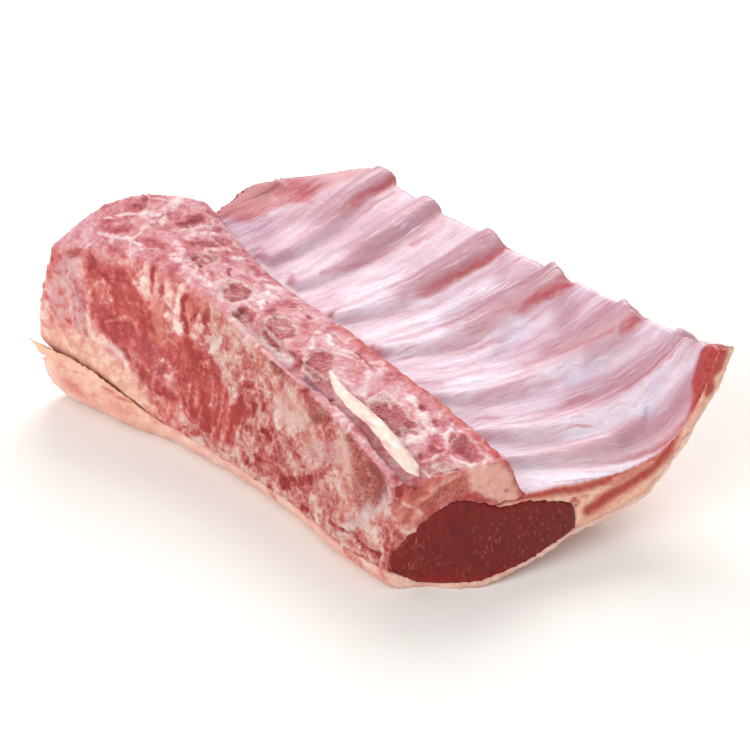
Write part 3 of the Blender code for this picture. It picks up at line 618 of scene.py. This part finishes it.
def makeSawnSide(s):
    piece, mesh, p, n = evenSkin("sawnSide", ["chine_bone", "side_muscle"], s)
    sway = np.stack([cloudNoise(p, 5, k) + 0.5 * cloudNoise(p, 1.8, k + 9, 2) for k in (3, 4, 5)], 1)
    x, y, z = (p + s["sway"] * sway).T
    near, far = cutFace(pastLoin(p), n, *s["loinCut"]), cutFace(pastShoulder(p), n, *s["shoulderCut"])
    level = easeBetween(0.3, 0.6, n[:, 2]) * easeBetween(36, 40, p[:, 2])
    top = np.maximum(level, easeBetween(21, 24, p[:, 1]) * (p[:, 2] > 26)) * (1 - near) * (1 - far)
    face = (1 - top) * (1 - near) * (1 - far)
    marks = {kind: face * strokes(x, z, s["face"][kind]) + top * strokes(x, y, s["strip"][kind])
             + near * strokes(y, z, s["near"][kind]) for kind in s["face"]}
    broken = 0.4 + 0.6 * easeBetween(-0.5, 0.3, cloudNoise(p, 2.0, 77, 3))
    marks["white"] *= broken
    marks["dark"] *= 0.3 + 0.7 * broken
    lean = patches(x, z, s["lean"], 1.6)
    marks["lean"] = face * lean + far * 0.8
    marks |= {name: face * patches(x, z, s[name], edge) for name, edge in s["faceEdges"].items()}
    marks["blade"] += near * patches(y, z, s["cartilage"], 1.8)
    marks["porous"] += near * patches(y, z, s["spongy"], 1.8)
    marks["pits"] = face * strokes(x, z, s["pits"], 0.9)
    marks["marrow"] = top * patches(x, y, s["marrow"], 1.2)
    marks["outline"] = 4 * marks["marrow"] * (1 - marks["marrow"]) * broken
    marks["ridge"] = top * strokes(x, y, s["ridge"], 0.6)
    marks["canal"] = top * patches(x, y, s["canal"], 0.7)
    slope = np.stack([p[:, 0] * 1.2 + p[:, 2] * 0.9, p[:, 1], (p[:, 2] - p[:, 0] * 0.5) * 0.5], 1)
    marks["fatCloud"] = cloudNoise(slope, 6.5, 79, 4) + 0.25 * cloudNoise(slope, 2.2, 80, 3)
    marks["crumb"] = face * easeBetween(52, 66, x) * (1 - 0.8 * lean)
    marks["fibre"] = face * easeBetween(58, 66, x) * lean
    setMasks(mesh, marks | {"top": top, "near": near, "face": face})
    grit, fine, lumps = cloudNoise(p, 1.6, 71, 2), cloudNoise(p, 3.0, 72, 3), cloudNoise(p, 6.5, 73, 3)
    relief = 0.05 + sum(depth * marks[kind] for kind, depth in s["relief"].items())
    relief += top * (0.3 * lumps + 0.22 * fine + 0.1 * grit - marks["marrow"] * (0.35 + 0.3 * grit))
    relief += face * (0.3 * lumps + 0.25 * fine) + marks["crumb"] * (0.35 * fine + 0.3 * grit)
    relief += marks["ridge"] * (0.2 + 0.3 * fine) - marks["porous"] * (0.3 + 0.35 * grit)
    relief += 0.25 * marks["blade"] * (1 - near) + (near + far) * (0.14 * grit + 0.2 * fine)
    setPoints(mesh, p + n * np.clip(relief, *s["reliefLimits"])[:, None])
    mesh.materials.append(paintSawnSide(s))
    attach(piece, "root")
    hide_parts("chine_bone", "side_muscle")
    print("sawn side made", len(mesh.vertices))


makeSawnSide(sawnSide)

# The fat under the rack: pink and cream, split open at the shoulder end.

fatLayer = {
    "voxel": 0.0009, "evening": 4, "crispEnds": 0.6, "sway": 0.8, "loinCut": ((-1.5, -0.5), (0.4, 0.7)),
    "tuckedUnder": 0.8, "reliefLimits": (-1.2, 0.7), "finish": {"depth": 0.0008, "coat": 0.1, "soak": 0.15},
    "tones": {
        "fat": [(0.22, 214, 134, 122), (0.38, 228, 166, 152), (0.52, 236, 188, 172), (0.68, 244, 208, 190),
                (0.85, 250, 226, 210)],
        "folds": (218, 142, 130), "peach": (240, 194, 156), "peachFolds": (224, 158, 116), "blood": (186, 74, 64),
        "slit": (140, 56, 44), "cut": (244, 204, 188)},
    "peach": [(9, [(-6, 26), (6, 27), (16, 25)]), (7, [(14, 24), (28, 20), (40, 15)])],
    "pink": [(5, [(4, 12), (14, 9)], 0.8), (4, [(24, 12), (34, 9)], 0.5), (3, [(46, 10), (58, 8)], 0.5)],
    "blood": [(1.6, [(24, 15.5), (30, 13.5), (38, 13.5)], 0.9), (3, [(106, 7), (109, 5)], 0.9),
        (3.5, [(152, 7), (158, 5)], 0.9), (1.5, [(62, 10), (68, 10)], 0.6), (2, [(166, 9), (168, 4)], 0.8),
        (1.4, [(128, 9), (140, 10)], 0.5)],
    "cutBlood": [(1.6, [(-6, 1.4), (6, 1.2), (22, 3)], 0.8), (2.4, [(-15, 3), (-13, 8)], 0.6)],
}


def paintFat(s):
    b = Board("softFat", s["tones"])
    fleck = b.noise(560.0, 4.0, 0.7)
    grain = b.noise(210.0, 4.0, 0.65)
    cloud = b.noise(60.0, 4.0, 0.6)
    folds = b.noise(110.0, 4.0, 0.6, b.stretched((0.3, 1.0, 1.8)))
    peach, pink, blood, slit, near = b.masks("peach pink blood slit near")
    creamy = grain * 0.6 + fleck * 0.3 + cloud * 0.5 - 0.2 + near * 0.1 - pink * 0.2
    colour = b.paint(b.ramp(creamy, "fat"), [
        ("folds", folds.ease(0.56, 0.7) * 0.45),
        ("peach", peach * 0.85),
        ("peachFolds", peach * folds.ease(0.52, 0.68) * 0.5),
        ("blood", blood * grain.ease(0.3, 0.55) * 0.85),
        ("slit", slit * 0.85),
        ("cut", near * 0.6),
    ])
    return b.finish(colour, 0.46 + fleck * 0.15, grain * 0.7 + fleck * 0.35 + folds * 0.6, **s["finish"])


def makeFat(s):
    piece, mesh, p, n = evenSkin("fatLayer", ["fat_cap"], s)
    x, y, z = swayed(p, s["sway"], 6, 13).T
    near = cutFace(pastLoin(p), n, *s["loinCut"])
    side = easeBetween(0.2, 0.6, -n[:, 1]) * (p[:, 1] < 0)
    # Under the other pieces the fat is raised a little, so that no gap shows.
    hidden = easeBetween(0.25, 0.6, 0.8 * n[:, 2] - 0.6 * n[:, 1] * (p[:, 1] > 0)) * (1 - near) \
        * np.where(p[:, 1] < 10, easeBetween(48, 56, p[:, 0]), 1)
    slit = (p[:, 0] < 47) * (p[:, 1] < -8) * easeBetween(0.45, 0.7, np.abs(n[:, 2])) * easeBetween(9, 10, p[:, 2]) \
        * easeBetween(23, 21, p[:, 2]) * easeBetween(0.5, 3.0, p[:, 1] + 38.5 - 0.42 * np.maximum(0, p[:, 0]))
    setMasks(mesh, {
        "peach": strokes(x, z, s["peach"], 0.6) * (y < 0), "pink": strokes(x, z, s["pink"], 0.9) * side,
        "blood": strokes(x, z, s["blood"], 0.8) * side + strokes(y, z, s["cutBlood"], 0.8) * near,
        "slit": slit, "near": near})
    under = easeBetween(-0.8, -0.95, n[:, 2]) * (p[:, 2] < 1.0)
    relief = 0.1 + (1 - under) * (0.4 * cloudNoise(p, 9, 83, 3) + 0.22 * cloudNoise(p, 2.5, 87, 3))
    relief *= 1 - 0.6 * easeBetween(-1, 1, p[:, 2] - 60)
    relief = np.clip(relief, *s["reliefLimits"]) * (1 - hidden) + hidden * s["tuckedUnder"]
    setPoints(mesh, p + n * relief[:, None])
    mesh.materials.append(paintFat(s))
    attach(piece, "root")
    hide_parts("fat_cap")
    print("fat made", len(mesh.vertices))


makeFat(fatLayer)

# The loin muscle that shows at the cut: dark, with short pale flecks of fat.

loinEye = {
    "voxel": 0.0008, "evening": 3, "crispEnds": 1.0, "loinCut": ((-1.4, -0.4), (0.4, 0.7)), "swell": 0.35,
    "finish": {"depth": 0.0006, "coat": 0.05, "soak": 0.04}, "shine": 0.35,
    "tones": {"meat": (130, 46, 28), "heart": (112, 33, 20), "fibre": (142, 62, 48), "grain": (96, 24, 20),
              "fat": (180, 110, 94), "under": (150, 28, 20)},
    "heart": [[(-8, 14), (0, 22), (10, 27), (20, 22), (32, 22), (42, 18), (42, 12), (30, 8), (10, 6), (-6, 7)]],
}


def paintEye(s):
    b = Board("darkLoin", s["tones"])
    fleck = b.noise(700.0, 3.0, 0.65)
    grain = b.noise(420.0, 4.0, 0.65)
    fats = b.noise(860.0, 2.0, 0.6, b.stretched((1.0, 1.2, 0.6), (25, 0, 0)))
    spread = b.noise(70.0, 2.0)
    fibre = b.noise(260.0, 4.0, 0.6, b.stretched((0.5, 1.2, 0.5)))
    heart, under = b.masks("heart under")
    colour = b.paint("meat", [
        ("heart", heart * 0.5),
        ("fibre", fibre.ease(0.5, 0.66) * 0.4),
        ("grain", (1 - grain).ease(0.5, 0.66) * 0.5),
        ("fat", fats.ease(0.56, 0.68) * spread.ease(0.34, 0.6) * 0.7),
        ("under", under * grain.ease(0.3, 0.6) * 0.6),
    ])
    height = grain * 0.8 + fleck * 0.5 + fibre * 0.4 + fats.ease(0.6, 0.72) * 0.4
    b.put(b.shader, {"Specular IOR Level": s["shine"]})
    return b.finish(colour, 0.4 + fleck * 0.2, height, **s["finish"])


def makeEye(s):
    piece, mesh, p, n = evenSkin("eyeMuscle", ["loin_eye"], s)
    near = cutFace(pastLoin(p), n, *s["loinCut"])
    sway = cloudNoise(p, 5, 93)
    heart = patches(p[:, 1] + sway, p[:, 2] + sway, s["heart"], 5)
    foot = 3.2 + 5.5 * easeBetween(20, 44, p[:, 1])
    under = near * easeBetween(2.6, 0.6, p[:, 2] - foot) * easeBetween(-14, -6, p[:, 1])
    setMasks(mesh, {"heart": heart * near, "under": under})
    relief = near * (0.05 + 0.14 * cloudNoise(p, 2.6, 95) + 0.3 * heart) + s["swell"] * (1 - near)
    setPoints(mesh, p + n * relief[:, None])
    mesh.materials.append(paintEye(s))
    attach(piece, "root")
    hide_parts("loin_eye")
    print("eye made", len(mesh.vertices))


makeEye(loinEye)

# The white cord in the spinal canal: a little kinked, thin and frayed at its upper end.
# Its path is along, across and up, where up is counted from the line of crests.

cord = {
    "path": [(117.5, 3.4, 0), (119.6, 2.2, -0.1), (122.5, 0.9, -0.2), (126, -0.3, -0.4), (132, -1.3, -0.6),
        (138, -1.7, -0.7), (145, -1.6, -0.7), (152, -2.2, -0.8), (160, -3.6, -0.8), (168, -4.2, -0.8), (173, -4.4, -0.9)],
    "radius": [0.6, 0.9, 1.3, 1.7, 2.2, 2.6, 2.4, 2.7, 2.9, 2.6, 1.8],
    "crests": [(118, 53.2), (126, 52.6), (138, 51.2), (150, 49.4), (160, 47.3), (168, 45.2), (176, 43)],
    "flat": 0.6, "around": 28, "steps": 120, "crumple": 0.3,
    "finish": {"depth": 0.0007, "coat": 0.1, "soak": 0.15}, "roughness": 0.45,
    "tones": {"cord": (240, 218, 206), "pale": (250, 238, 230), "lines": (222, 172, 158)},
}


def makeCord(s):
    path = np.array(s["path"], float)
    path[:, 2] += curveThrough(s["crests"], path[:, 0])
    stops = np.linspace(0, 1, len(path))
    around, steps = s["around"], s["steps"]
    t = np.linspace(0, 1, steps)
    centre = np.stack([curveThrough(list(zip(stops, path[:, k])), t) for k in range(3)], 1)
    radius = curveThrough(list(zip(stops, s["radius"])), t) * np.minimum(1, 0.3 + 11 * np.minimum(t, 1 - t))
    ahead = np.gradient(centre, axis=0)
    ahead /= np.linalg.norm(ahead, axis=1)[:, None]
    side = np.cross(ahead, [0, 0, 1.0])
    side /= np.linalg.norm(side, axis=1)[:, None]
    up = np.cross(side, ahead)
    turn = np.linspace(0, 2 * np.pi, around, endpoint=False)[None, :, None]
    ring = side[:, None] * np.cos(turn) + up[:, None] * np.sin(turn) * s["flat"]
    rings = centre[:, None] + radius[:, None, None] * ring
    points = swayed(rings.reshape(-1, 3), s["crumple"], 2.2, 101, (0.4, 1.3, 1.3))
    faces = [(i + j, i + (j + 1) % around, i + around + (j + 1) % around, i + around + j)
             for i in range(0, (steps - 1) * around, around) for j in range(around)]
    faces += [tuple(range(around))[::-1], tuple(range((steps - 1) * around, steps * around))]
    mesh = bpy.data.meshes.new("spinalCord")
    mesh.from_pydata([tuple(v) for v in (points - gridOrigin) / 1000], [], faces)
    mesh.update()
    mesh.shade_smooth()
    piece = placed("spinalCord", mesh)
    b = Board("creamCord", s["tones"])
    grain = b.noise(260.0, 4.0, 0.6)
    long = b.noise(260.0, 4.0, 0.6, b.stretched((0.25, 1.4, 1.4)))
    colour = b.paint("cord", [("pale", grain.ease(0.4, 0.6) * 0.6), ("lines", long.ease(0.5, 0.66) * 0.65)])
    mesh.materials.append(b.finish(colour, s["roughness"], grain * 0.5 + long * 0.8, **s["finish"]))
    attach(piece, "root")
    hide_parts("spinal_marrow")
    print("cord made")


makeCord(cord)

# The rib side: the wet skin inside the rib cage, over the ribs and the meat between them.
# Its paint rows are along and across, and those of the cut across and up. Each rib is a line of points.

ribSide = {
    "voxel": 0.00095, "evening": 5, "crispEnds": 1.0, "sway": 0.6,
    "loinCut": ((-1.6, -0.6), (0.35, 0.65)), "shoulderCut": ((1.6, 0.6), (-0.35, -0.65)),
    "tipCut": ((-2.0, -0.8), (0.45, 0.7)), "reliefLimits": (-1.0, 0.75),
    "ribsReach": (30, 100), "ribBefore": 26, "ribAfter": 24, "grooveAt": 0.24, "grooveWidth": 0.06, "crestWidth": 0.15,
    "finish": {"depth": 0.0005, "coat": 0.22, "soak": 0.12},
    "tones": {
        "skin": [(0.25, 210, 164, 178), (0.42, 222, 186, 202), (0.56, 229, 204, 220), (0.72, 236, 220, 234),
                 (0.88, 243, 234, 242)],
        "fatty": [(0.35, 224, 146, 124), (0.5, 240, 186, 162), (0.65, 249, 215, 195)],
        "sawn": [(0.35, 176, 76, 70), (0.5, 206, 118, 108), (0.7, 234, 180, 164)],
        "glare": (240, 231, 243), "rosy": (214, 170, 174), "rosyGrain": (206, 150, 152), "mauve": (182, 126, 141),
        "mauveHair": (164, 104, 120), "violet": (196, 182, 214), "strand": (204, 130, 138), "thread": (248, 240, 250),
        "farTint": (206, 160, 173), "shade": (186, 132, 160), "rim": (182, 66, 78), "red": (194, 88, 94),
        "veins": (150, 138, 164), "corner": (186, 66, 58), "cornerFleck": (150, 40, 38), "muscle": (160, 58, 66),
        "ribEnd": (186, 118, 122), "meat": (184, 68, 58), "meatFleck": (166, 50, 42)},
    "rimWidth": [(30, 5), (38, 12), (50, 18), (64, 18), (74, 12), (100, 5)],
    "ribs": [[(36, 30), (33, 50), (31, 66), (30, 84), (29, 100)], [(55, 34), (56, 50), (57, 66), (58, 84), (58, 100)],
        [(77, 34), (80, 50), (84, 66), (88, 84), (91, 100)], [(101, 34), (106, 50), (112, 66), (117, 84), (123, 100)],
        [(131, 34), (136, 50), (142, 66), (150, 84), (158, 100)],
        [(153, 34), (158, 50), (165, 66), (174, 82), (188, 100)], [(170, 34), (178, 50), (186, 64), (195, 80), (200, 92)]],
    "skin": {
        "mauve": [(8, [(201, 92), (195, 82), (189, 72)], 0.7), (9.5, [(29, 96), (30, 84), (30.5, 74), (32, 64)], 0.9),
            (9.5, [(58.5, 100), (58, 84), (57, 72), (56, 62)], 0.85),
            (8.5, [(90, 100), (88.5, 86), (85.5, 74), (83, 62)]),
            (9.5, [(121, 100), (116.5, 86), (113, 76), (109.5, 64)]), (9, [(157, 100), (151, 88), (145, 78)], 0.8),
            (9, [(136, 94), (142, 89)], 0.65), (5, [(127, 74), (132, 66)], 0.3),
            (9.5, [(187, 100), (178, 88), (171, 79), (166, 71)], 0.7), (6, [(168, 94), (160, 84)], 0.45),
            (6, [(104, 93), (108, 88)], 0.4), (6, [(48, 90), (47, 74)], 0.25), (7, [(24, 60), (26, 50)], 0.35)],
        "rosy": [(5, [(36.5, 96), (37.5, 84), (38, 72)], 0.7), (4.5, [(64, 96), (63.5, 82), (61.5, 66)], 0.8),
            (5.5, [(97, 96), (93.5, 82), (90, 68)], 0.8), (5.5, [(128, 97), (122, 82), (117, 66)], 0.7),
            (5.5, [(164, 97), (158, 88), (151, 78), (145, 68)], 0.8),
            (8, [(199, 86), (192, 74), (186, 60), (180, 48)], 0.6), (5, [(24, 66), (27, 50), (30, 38)], 0.7),
            (6, [(20, 86), (19, 76)], 0.9), (4, [(106, 50), (102, 42)], 0.4), (4, [(66, 54), (64, 44)], 0.4),
            (4, [(92, 58), (90, 48)], 0.5), (6, [(176, 92), (170, 84)], 0.3), (6, [(172, 56), (166, 44)], 0.35),
            (5, [(150, 60), (146, 48)], 0.25)],
        "red": [(1.4, [(41, 93), (41.5, 84), (41.5, 74), (43, 66)], 0.55),
            (1.5, [(38, 76), (38, 66), (37, 56), (37, 44)], 0.75),
            (3, [(66.5, 99), (69, 92), (69.5, 86), (68, 80)], 0.95),
            (1.3, [(65, 74), (62.5, 62), (60, 52), (58, 44)], 0.55), (1.4, [(97.5, 94), (96, 84)], 0.45),
            (3.2, [(133, 99), (129, 92), (126, 86), (123, 80)]), (1.2, [(123, 80), (118, 70)], 0.5),
            (2.2, [(168, 100), (164, 94)], 0.9), (1.6, [(162, 92), (156, 84), (150, 76)], 0.5),
            (3.2, [(75.5, 38), (77.5, 33)]), (4.5, [(98, 34), (108, 33)], 0.7), (2.6, [(128.5, 43), (125, 36)]),
            (2.6, [(154, 47), (149, 38)], 0.85), (2.2, [(50, 37), (54, 33)], 0.7), (2.2, [(33, 36), (36, 31)], 0.8),
            (4.5, [(169, 73), (165, 67)], 0.55), (2.4, [(101, 58), (97, 46)], 0.3), (3, [(38, 101), (45, 100)], 0.9),
            (1.2, [(13, 82), (14, 83)], 0.9), (3, [(79, 101), (100, 99)], 0.4), (1.3, [(180, 92), (176, 86)], 0.3),
            (3, [(192, 100), (197, 97)], 0.6), (1.2, [(74, 66), (70, 52)], 0.3)],
        "glare": [(14, [(200, 76), (191, 54), (182, 40)], 0.9), (2.4, [(53, 90), (53, 74)], 0.5),
            (5, [(33, 60), (34, 44)], 0.6), (3.5, [(46, 60), (41, 46)], 0.7), (7, [(52, 58), (50, 42)], 0.7),
            (4, [(66, 60), (60, 42)], 0.9), (6, [(77, 64), (73, 46)], 0.9), (3, [(82, 86), (80, 68)], 0.7),
            (4, [(93, 66), (85, 48), (80, 36)], 0.9), (6, [(102, 70), (97, 50), (94, 38)], 0.9),
            (7, [(106, 84), (103, 72), (101, 56)], 0.8), (5, [(127, 80), (118, 66), (112, 54), (108, 40)]),
            (5.5, [(152, 72), (142, 62), (134, 50)]), (6, [(170, 92), (158, 78), (150, 70)], 0.8),
            (6, [(188, 86), (180, 72), (172, 60), (165, 46)], 0.95), (3.5, [(160, 54), (155, 40)], 0.8),
            (4, [(194, 95), (184, 86)], 0.8), (3, [(74, 92), (76, 76)], 0.5), (3, [(134, 78), (126, 62), (120, 48)], 0.5),
            (4, [(132, 44), (140, 38)], 0.6), (3, [(180, 42), (174, 36)], 0.6), (4, [(21, 56), (19, 44)], 0.6)],
        "shade": [(14, [(22, 42), (16, 30)]), (9, [(28, 42), (34, 33)], 0.7), (6, [(38, 38), (46, 33)], 0.4)],
        # violet: the lilac of the skin in the valleys between ribs. Its first two rows, by the backbone at the shoulder
        # end, are painted shade in the angle beside the ridge.
        "violet": [(8, [(9, 42), (13, 33)], 0.9), (2.4, [(13, 37), (16.5, 30)]), (8, [(130, 76), (133, 64)], 0.45),
            (5, [(106, 72), (103, 58)], 0.4), (5, [(166, 84), (160, 74)], 0.5), (4, [(187, 88), (190, 82)], 0.6),
            (4, [(24, 38), (20, 48)], 0.4), (3, [(48, 44), (46, 38)], 0.4)],
        "veins": [(0.9, [(166, 62), (162, 52), (158, 43)], 0.9), (1.5, [(136, 51.5), (137.5, 53)]),
            (0.8, [(120, 71), (116, 62), (113, 56)], 0.6), (1.2, [(187.5, 83), (189, 81)], 0.8),
            (1, [(174, 67), (172, 63)], 0.6), (1.2, [(106, 60), (103, 56)], 0.6), (1, [(130, 74), (128, 70)], 0.6),
            (0.8, [(176, 74), (171, 66)], 0.5)],
        "muscle": [(7, [(6, 66), (8, 60), (10, 52)]), (4, [(5, 52), (7, 38)], 0.9), (3, [(2, 56), (4, 66)], 0.7)]},
    "cutRed": [(3.2, [(20, 27.2), (28, 28), (38, 27), (46, 25.6), (53, 25.6), (59, 26.4)], 0.95),
        (3.4, [(59, 28.2), (66, 30), (73, 32)]),
        (4.2, [(52, 16), (57, 18.6), (63, 21.3), (69, 24), (75, 28), (79, 32.5)]),
        (3.4, [(79.5, 34), (82, 42), (86, 50)], 0.95),
        (1.6, [(45, 20), (46.5, 22), (48.2, 20.5), (46.5, 18.6), (45, 20)], 0.8), (1.6, [(49, 23), (51, 22)], 0.5),
        (2.2, [(60, 24.5), (72, 29)], 0.45)],
    "cutTip": [[(86, 69), (90, 73), (96, 71), (98, 65), (96, 60), (93, 58), (93.5, 52), (90.5, 51), (88.5, 57), (86.5, 62)]],
}


def paintRibSide(s):
    b = Board("wetRibSkin", s["tones"])
    ribNumber, ribOut, cut, meat, sawn, ribEnd, pale = b.masks("ribNumber ribOut cutFat cutRed sawn ribEnd pale")
    glare, rosy, mauve, violet, farTint, shade = b.masks("glare rosy mauve violet farTint shade")
    rim, red, veins, corner, muscle = b.masks("rim red veins corner muscle")
    along = b.add("CombineXYZ", {}, [ribNumber * 0.9, ribOut * 0.5, 0.0])
    grain = b.noise(7.0, 5.0, 0.62, along, 0.3)
    hair = b.noise(34.0, 4.0, 0.62, along)
    lengthwise = b.add("CombineXYZ", {}, [ribNumber * 0.9, ribOut * 0.16, 0.0])
    strand = b.noise(21.0, 4.0, 0.55, lengthwise, 0.25)
    thread = b.noise(29.0, 4.0, 0.55, lengthwise, 0.25)
    cloud = b.noise(75.0, 4.0, 0.6)
    fleck = b.noise(480.0, 4.0, 0.7)
    colour = b.paint(b.ramp(grain * 0.9 + hair * 0.35 + pale * 0.12 + cloud * 0.3 - 0.33, "skin"), [
        ("glare", glare * hair.ease(0.2, 0.6) * 0.9),
        ("rosy", rosy * 0.7),
        ("rosyGrain", rosy * grain.ease(0.4, 0.62) * 0.5),
        ("mauve", mauve * 0.9),
        ("mauveHair", mauve * hair.ease(0.46, 0.68) * 0.55),
        # Lilac valleys, and painted shade in the angle beside the ridge at the shoulder end.
        ("violet", violet * 0.6),
        ("strand", strand.ease(0.55, 0.66) * cloud.ease(0.4, 0.6) * 0.6),
        ("thread", thread.ease(0.54, 0.66) * grain.ease(0.4, 0.6) * 0.6),
        # Painted shade, darker towards the shoulder end.
        ("farTint", farTint * 0.5),
        ("shade", shade * 0.85),
        ("rim", rim * cloud.ease(0.15, 0.45) * 0.95),
        ("red", red * hair.ease(0.15, 0.55) * 0.95),
        ("veins", veins * 0.6),
        ("corner", corner * 0.9),
        ("cornerFleck", corner * fleck.ease(0.45, 0.62) * 0.6),
        ("muscle", muscle * cloud.ease(0.2, 0.5)),
        (b.ramp(fleck * 0.5 + cloud * 0.6, "sawn"), sawn),
        ("ribEnd", ribEnd * 0.8),
        (b.ramp(fleck * 0.5 + cloud * 0.5, "fatty"), cut),
        ("meat", meat * 0.95),
        ("meatFleck", meat * fleck.ease(0.42, 0.62) * 0.6),
    ])
    rough = 0.32 + fleck * 0.14 + (cut + sawn) * 0.12
    height = grain * 0.6 + hair * 0.4 + strand * 0.4 + thread * 0.3 + fleck * 0.4 + cut * fleck * 0.6
    return b.finish(colour, rough, height, **s["finish"])


# A running rib number with its fraction, and the share of the way out along the ribs.
def ribPlace(x, y, s):
    lines = [curveThrough([(v, u) for u, v in line], y) for line in s["ribs"]]
    lines = [lines[0] - s["ribBefore"]] + lines + [lines[-1] + s["ribAfter"]]
    number = np.full(len(x), -1.0)
    for k, (line, after) in enumerate(zip(lines, lines[1:])):
        number = np.where(x >= line, k - 1 + np.clip((x - line) / (after - line), 0, 1), number)
    inner, outer = s["ribsReach"]
    return number, np.clip((y - inner) / (outer - inner), 0, 1)


def makeRibSide(s):
    piece, mesh, p, n = evenSkin("ribSkin", ["rib_wall"] + [f"rib_{k}" for k in range(1, 8)], s)
    x, y, z = swayed(p, s["sway"], 7, 3).T
    number, out = ribPlace(x, y, s)
    near, far = cutFace(pastLoin(p), n, *s["loinCut"]), cutFace(pastShoulder(p), n, *s["shoulderCut"])
    near = np.maximum(near, easeBetween(1.8, 0.8, -pastLoin(p)) * easeBetween(48, 40, p[:, 1]))
    reach, facing = s["tipCut"]
    tip = easeBetween(*reach, pastTips(p)) * easeBetween(*facing, n[:, 1])
    upward = easeBetween(0.0, 0.3, n[:, 2])
    inside = easeBetween(0.05, 0.4, n[:, 2]) * (1 - near) * (1 - far) * (1 - tip)
    streak = np.stack([number * 26, out * 9, np.zeros(len(x))], 1)
    fibre, fine = cloudNoise(streak, 5.0, 21, 3), cloudNoise(streak, 1.8, 25, 2)
    # Each rib is a mauve crest with a red groove on its near side.
    side = number - np.clip(np.round(number), 0, len(s["ribs"]) - 1)
    crest = np.exp(-(side / s["crestWidth"]) ** 2) * easeBetween(0.25, 0.8, out)
    groove = np.exp(-((side - s["grooveAt"]) / s["grooveWidth"]) ** 2) * easeBetween(0.2, 0.7, out) \
        * easeBetween(-0.9, 0.2, cloudNoise(streak, 7, 29))
    marks = {kind: strokes(x, y, rows, 0.85) * (1 - near) for kind, rows in s["skin"].items()}
    marks["red"] = np.maximum(marks["red"] * (0.35 + 0.65 * easeBetween(-0.5, 0.3, fibre)), 0.9 * groove * (1 - near))
    marks["mauve"] = np.maximum(marks["mauve"], 0.75 * crest * (1 - near))
    wide = curveThrough(s["rimWidth"], p[:, 1])
    rim = easeBetween(wide, wide - 4, pastShoulder(p) + 1.2 * cloudNoise(p, 5, 33)) * (1 - far) * (1 - tip)
    marks["rim"] = rim * upward * (1 - 0.45 * easeBetween(66, 80, p[:, 1]))
    corner = 10.0 * easeBetween(82, 96, p[:, 1])
    inward = 0.8 * cloudNoise(p, 3, 35) - pastLoin(p)
    marks["corner"] = easeBetween(corner, corner - 2, inward) * easeBetween(84, 88, p[:, 1]) * upward
    # Painted shade: the inner skin is tinted darker towards the shoulder end.
    marks["farTint"] = easeBetween(125, 15, p[:, 0]) * inside
    streaks = strokes(y, z, s["cutRed"], 0.7) * near
    outward = easeBetween(0.25, 0.0, n[:, 2]) * (1 - near)
    offset = np.abs(number - np.round(number))
    setMasks(mesh, marks | {
        "ribNumber": number, "ribOut": out, "pale": easeBetween(-0.3, 0.9, fibre), "cutFat": near,
        "cutRed": np.maximum(streaks, patches(y, z, s["cutTip"], 0.9) * near),
        "sawn": np.maximum(np.maximum(far, tip), outward), "ribEnd": tip * (1 - easeBetween(0.14, 0.26, offset))})
    relief = inside * (0.18 * fibre + 0.1 * fine + 0.35 * cloudNoise(p, 16, 47, 2) - 0.4 * marks["red"]
                       + 0.12 * marks["glare"] + 0.7 * crest - 0.5 * groove)
    relief += 0.08 + 0.5 * (tip + far) * cloudNoise(p, 3.2, 41) + near * (0.25 * cloudNoise(p, 3.0, 43, 3) - 0.3 * streaks)
    setPoints(mesh, p + n * np.clip(relief, *s["reliefLimits"])[:, None])
    mesh.materials.append(paintRibSide(s))
    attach(piece, "root")
    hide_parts("rib_wall", *[f"rib_{n}" for n in range(1, 8)])
    print("rib side made", len(mesh.vertices))


makeRibSide(ribSide)
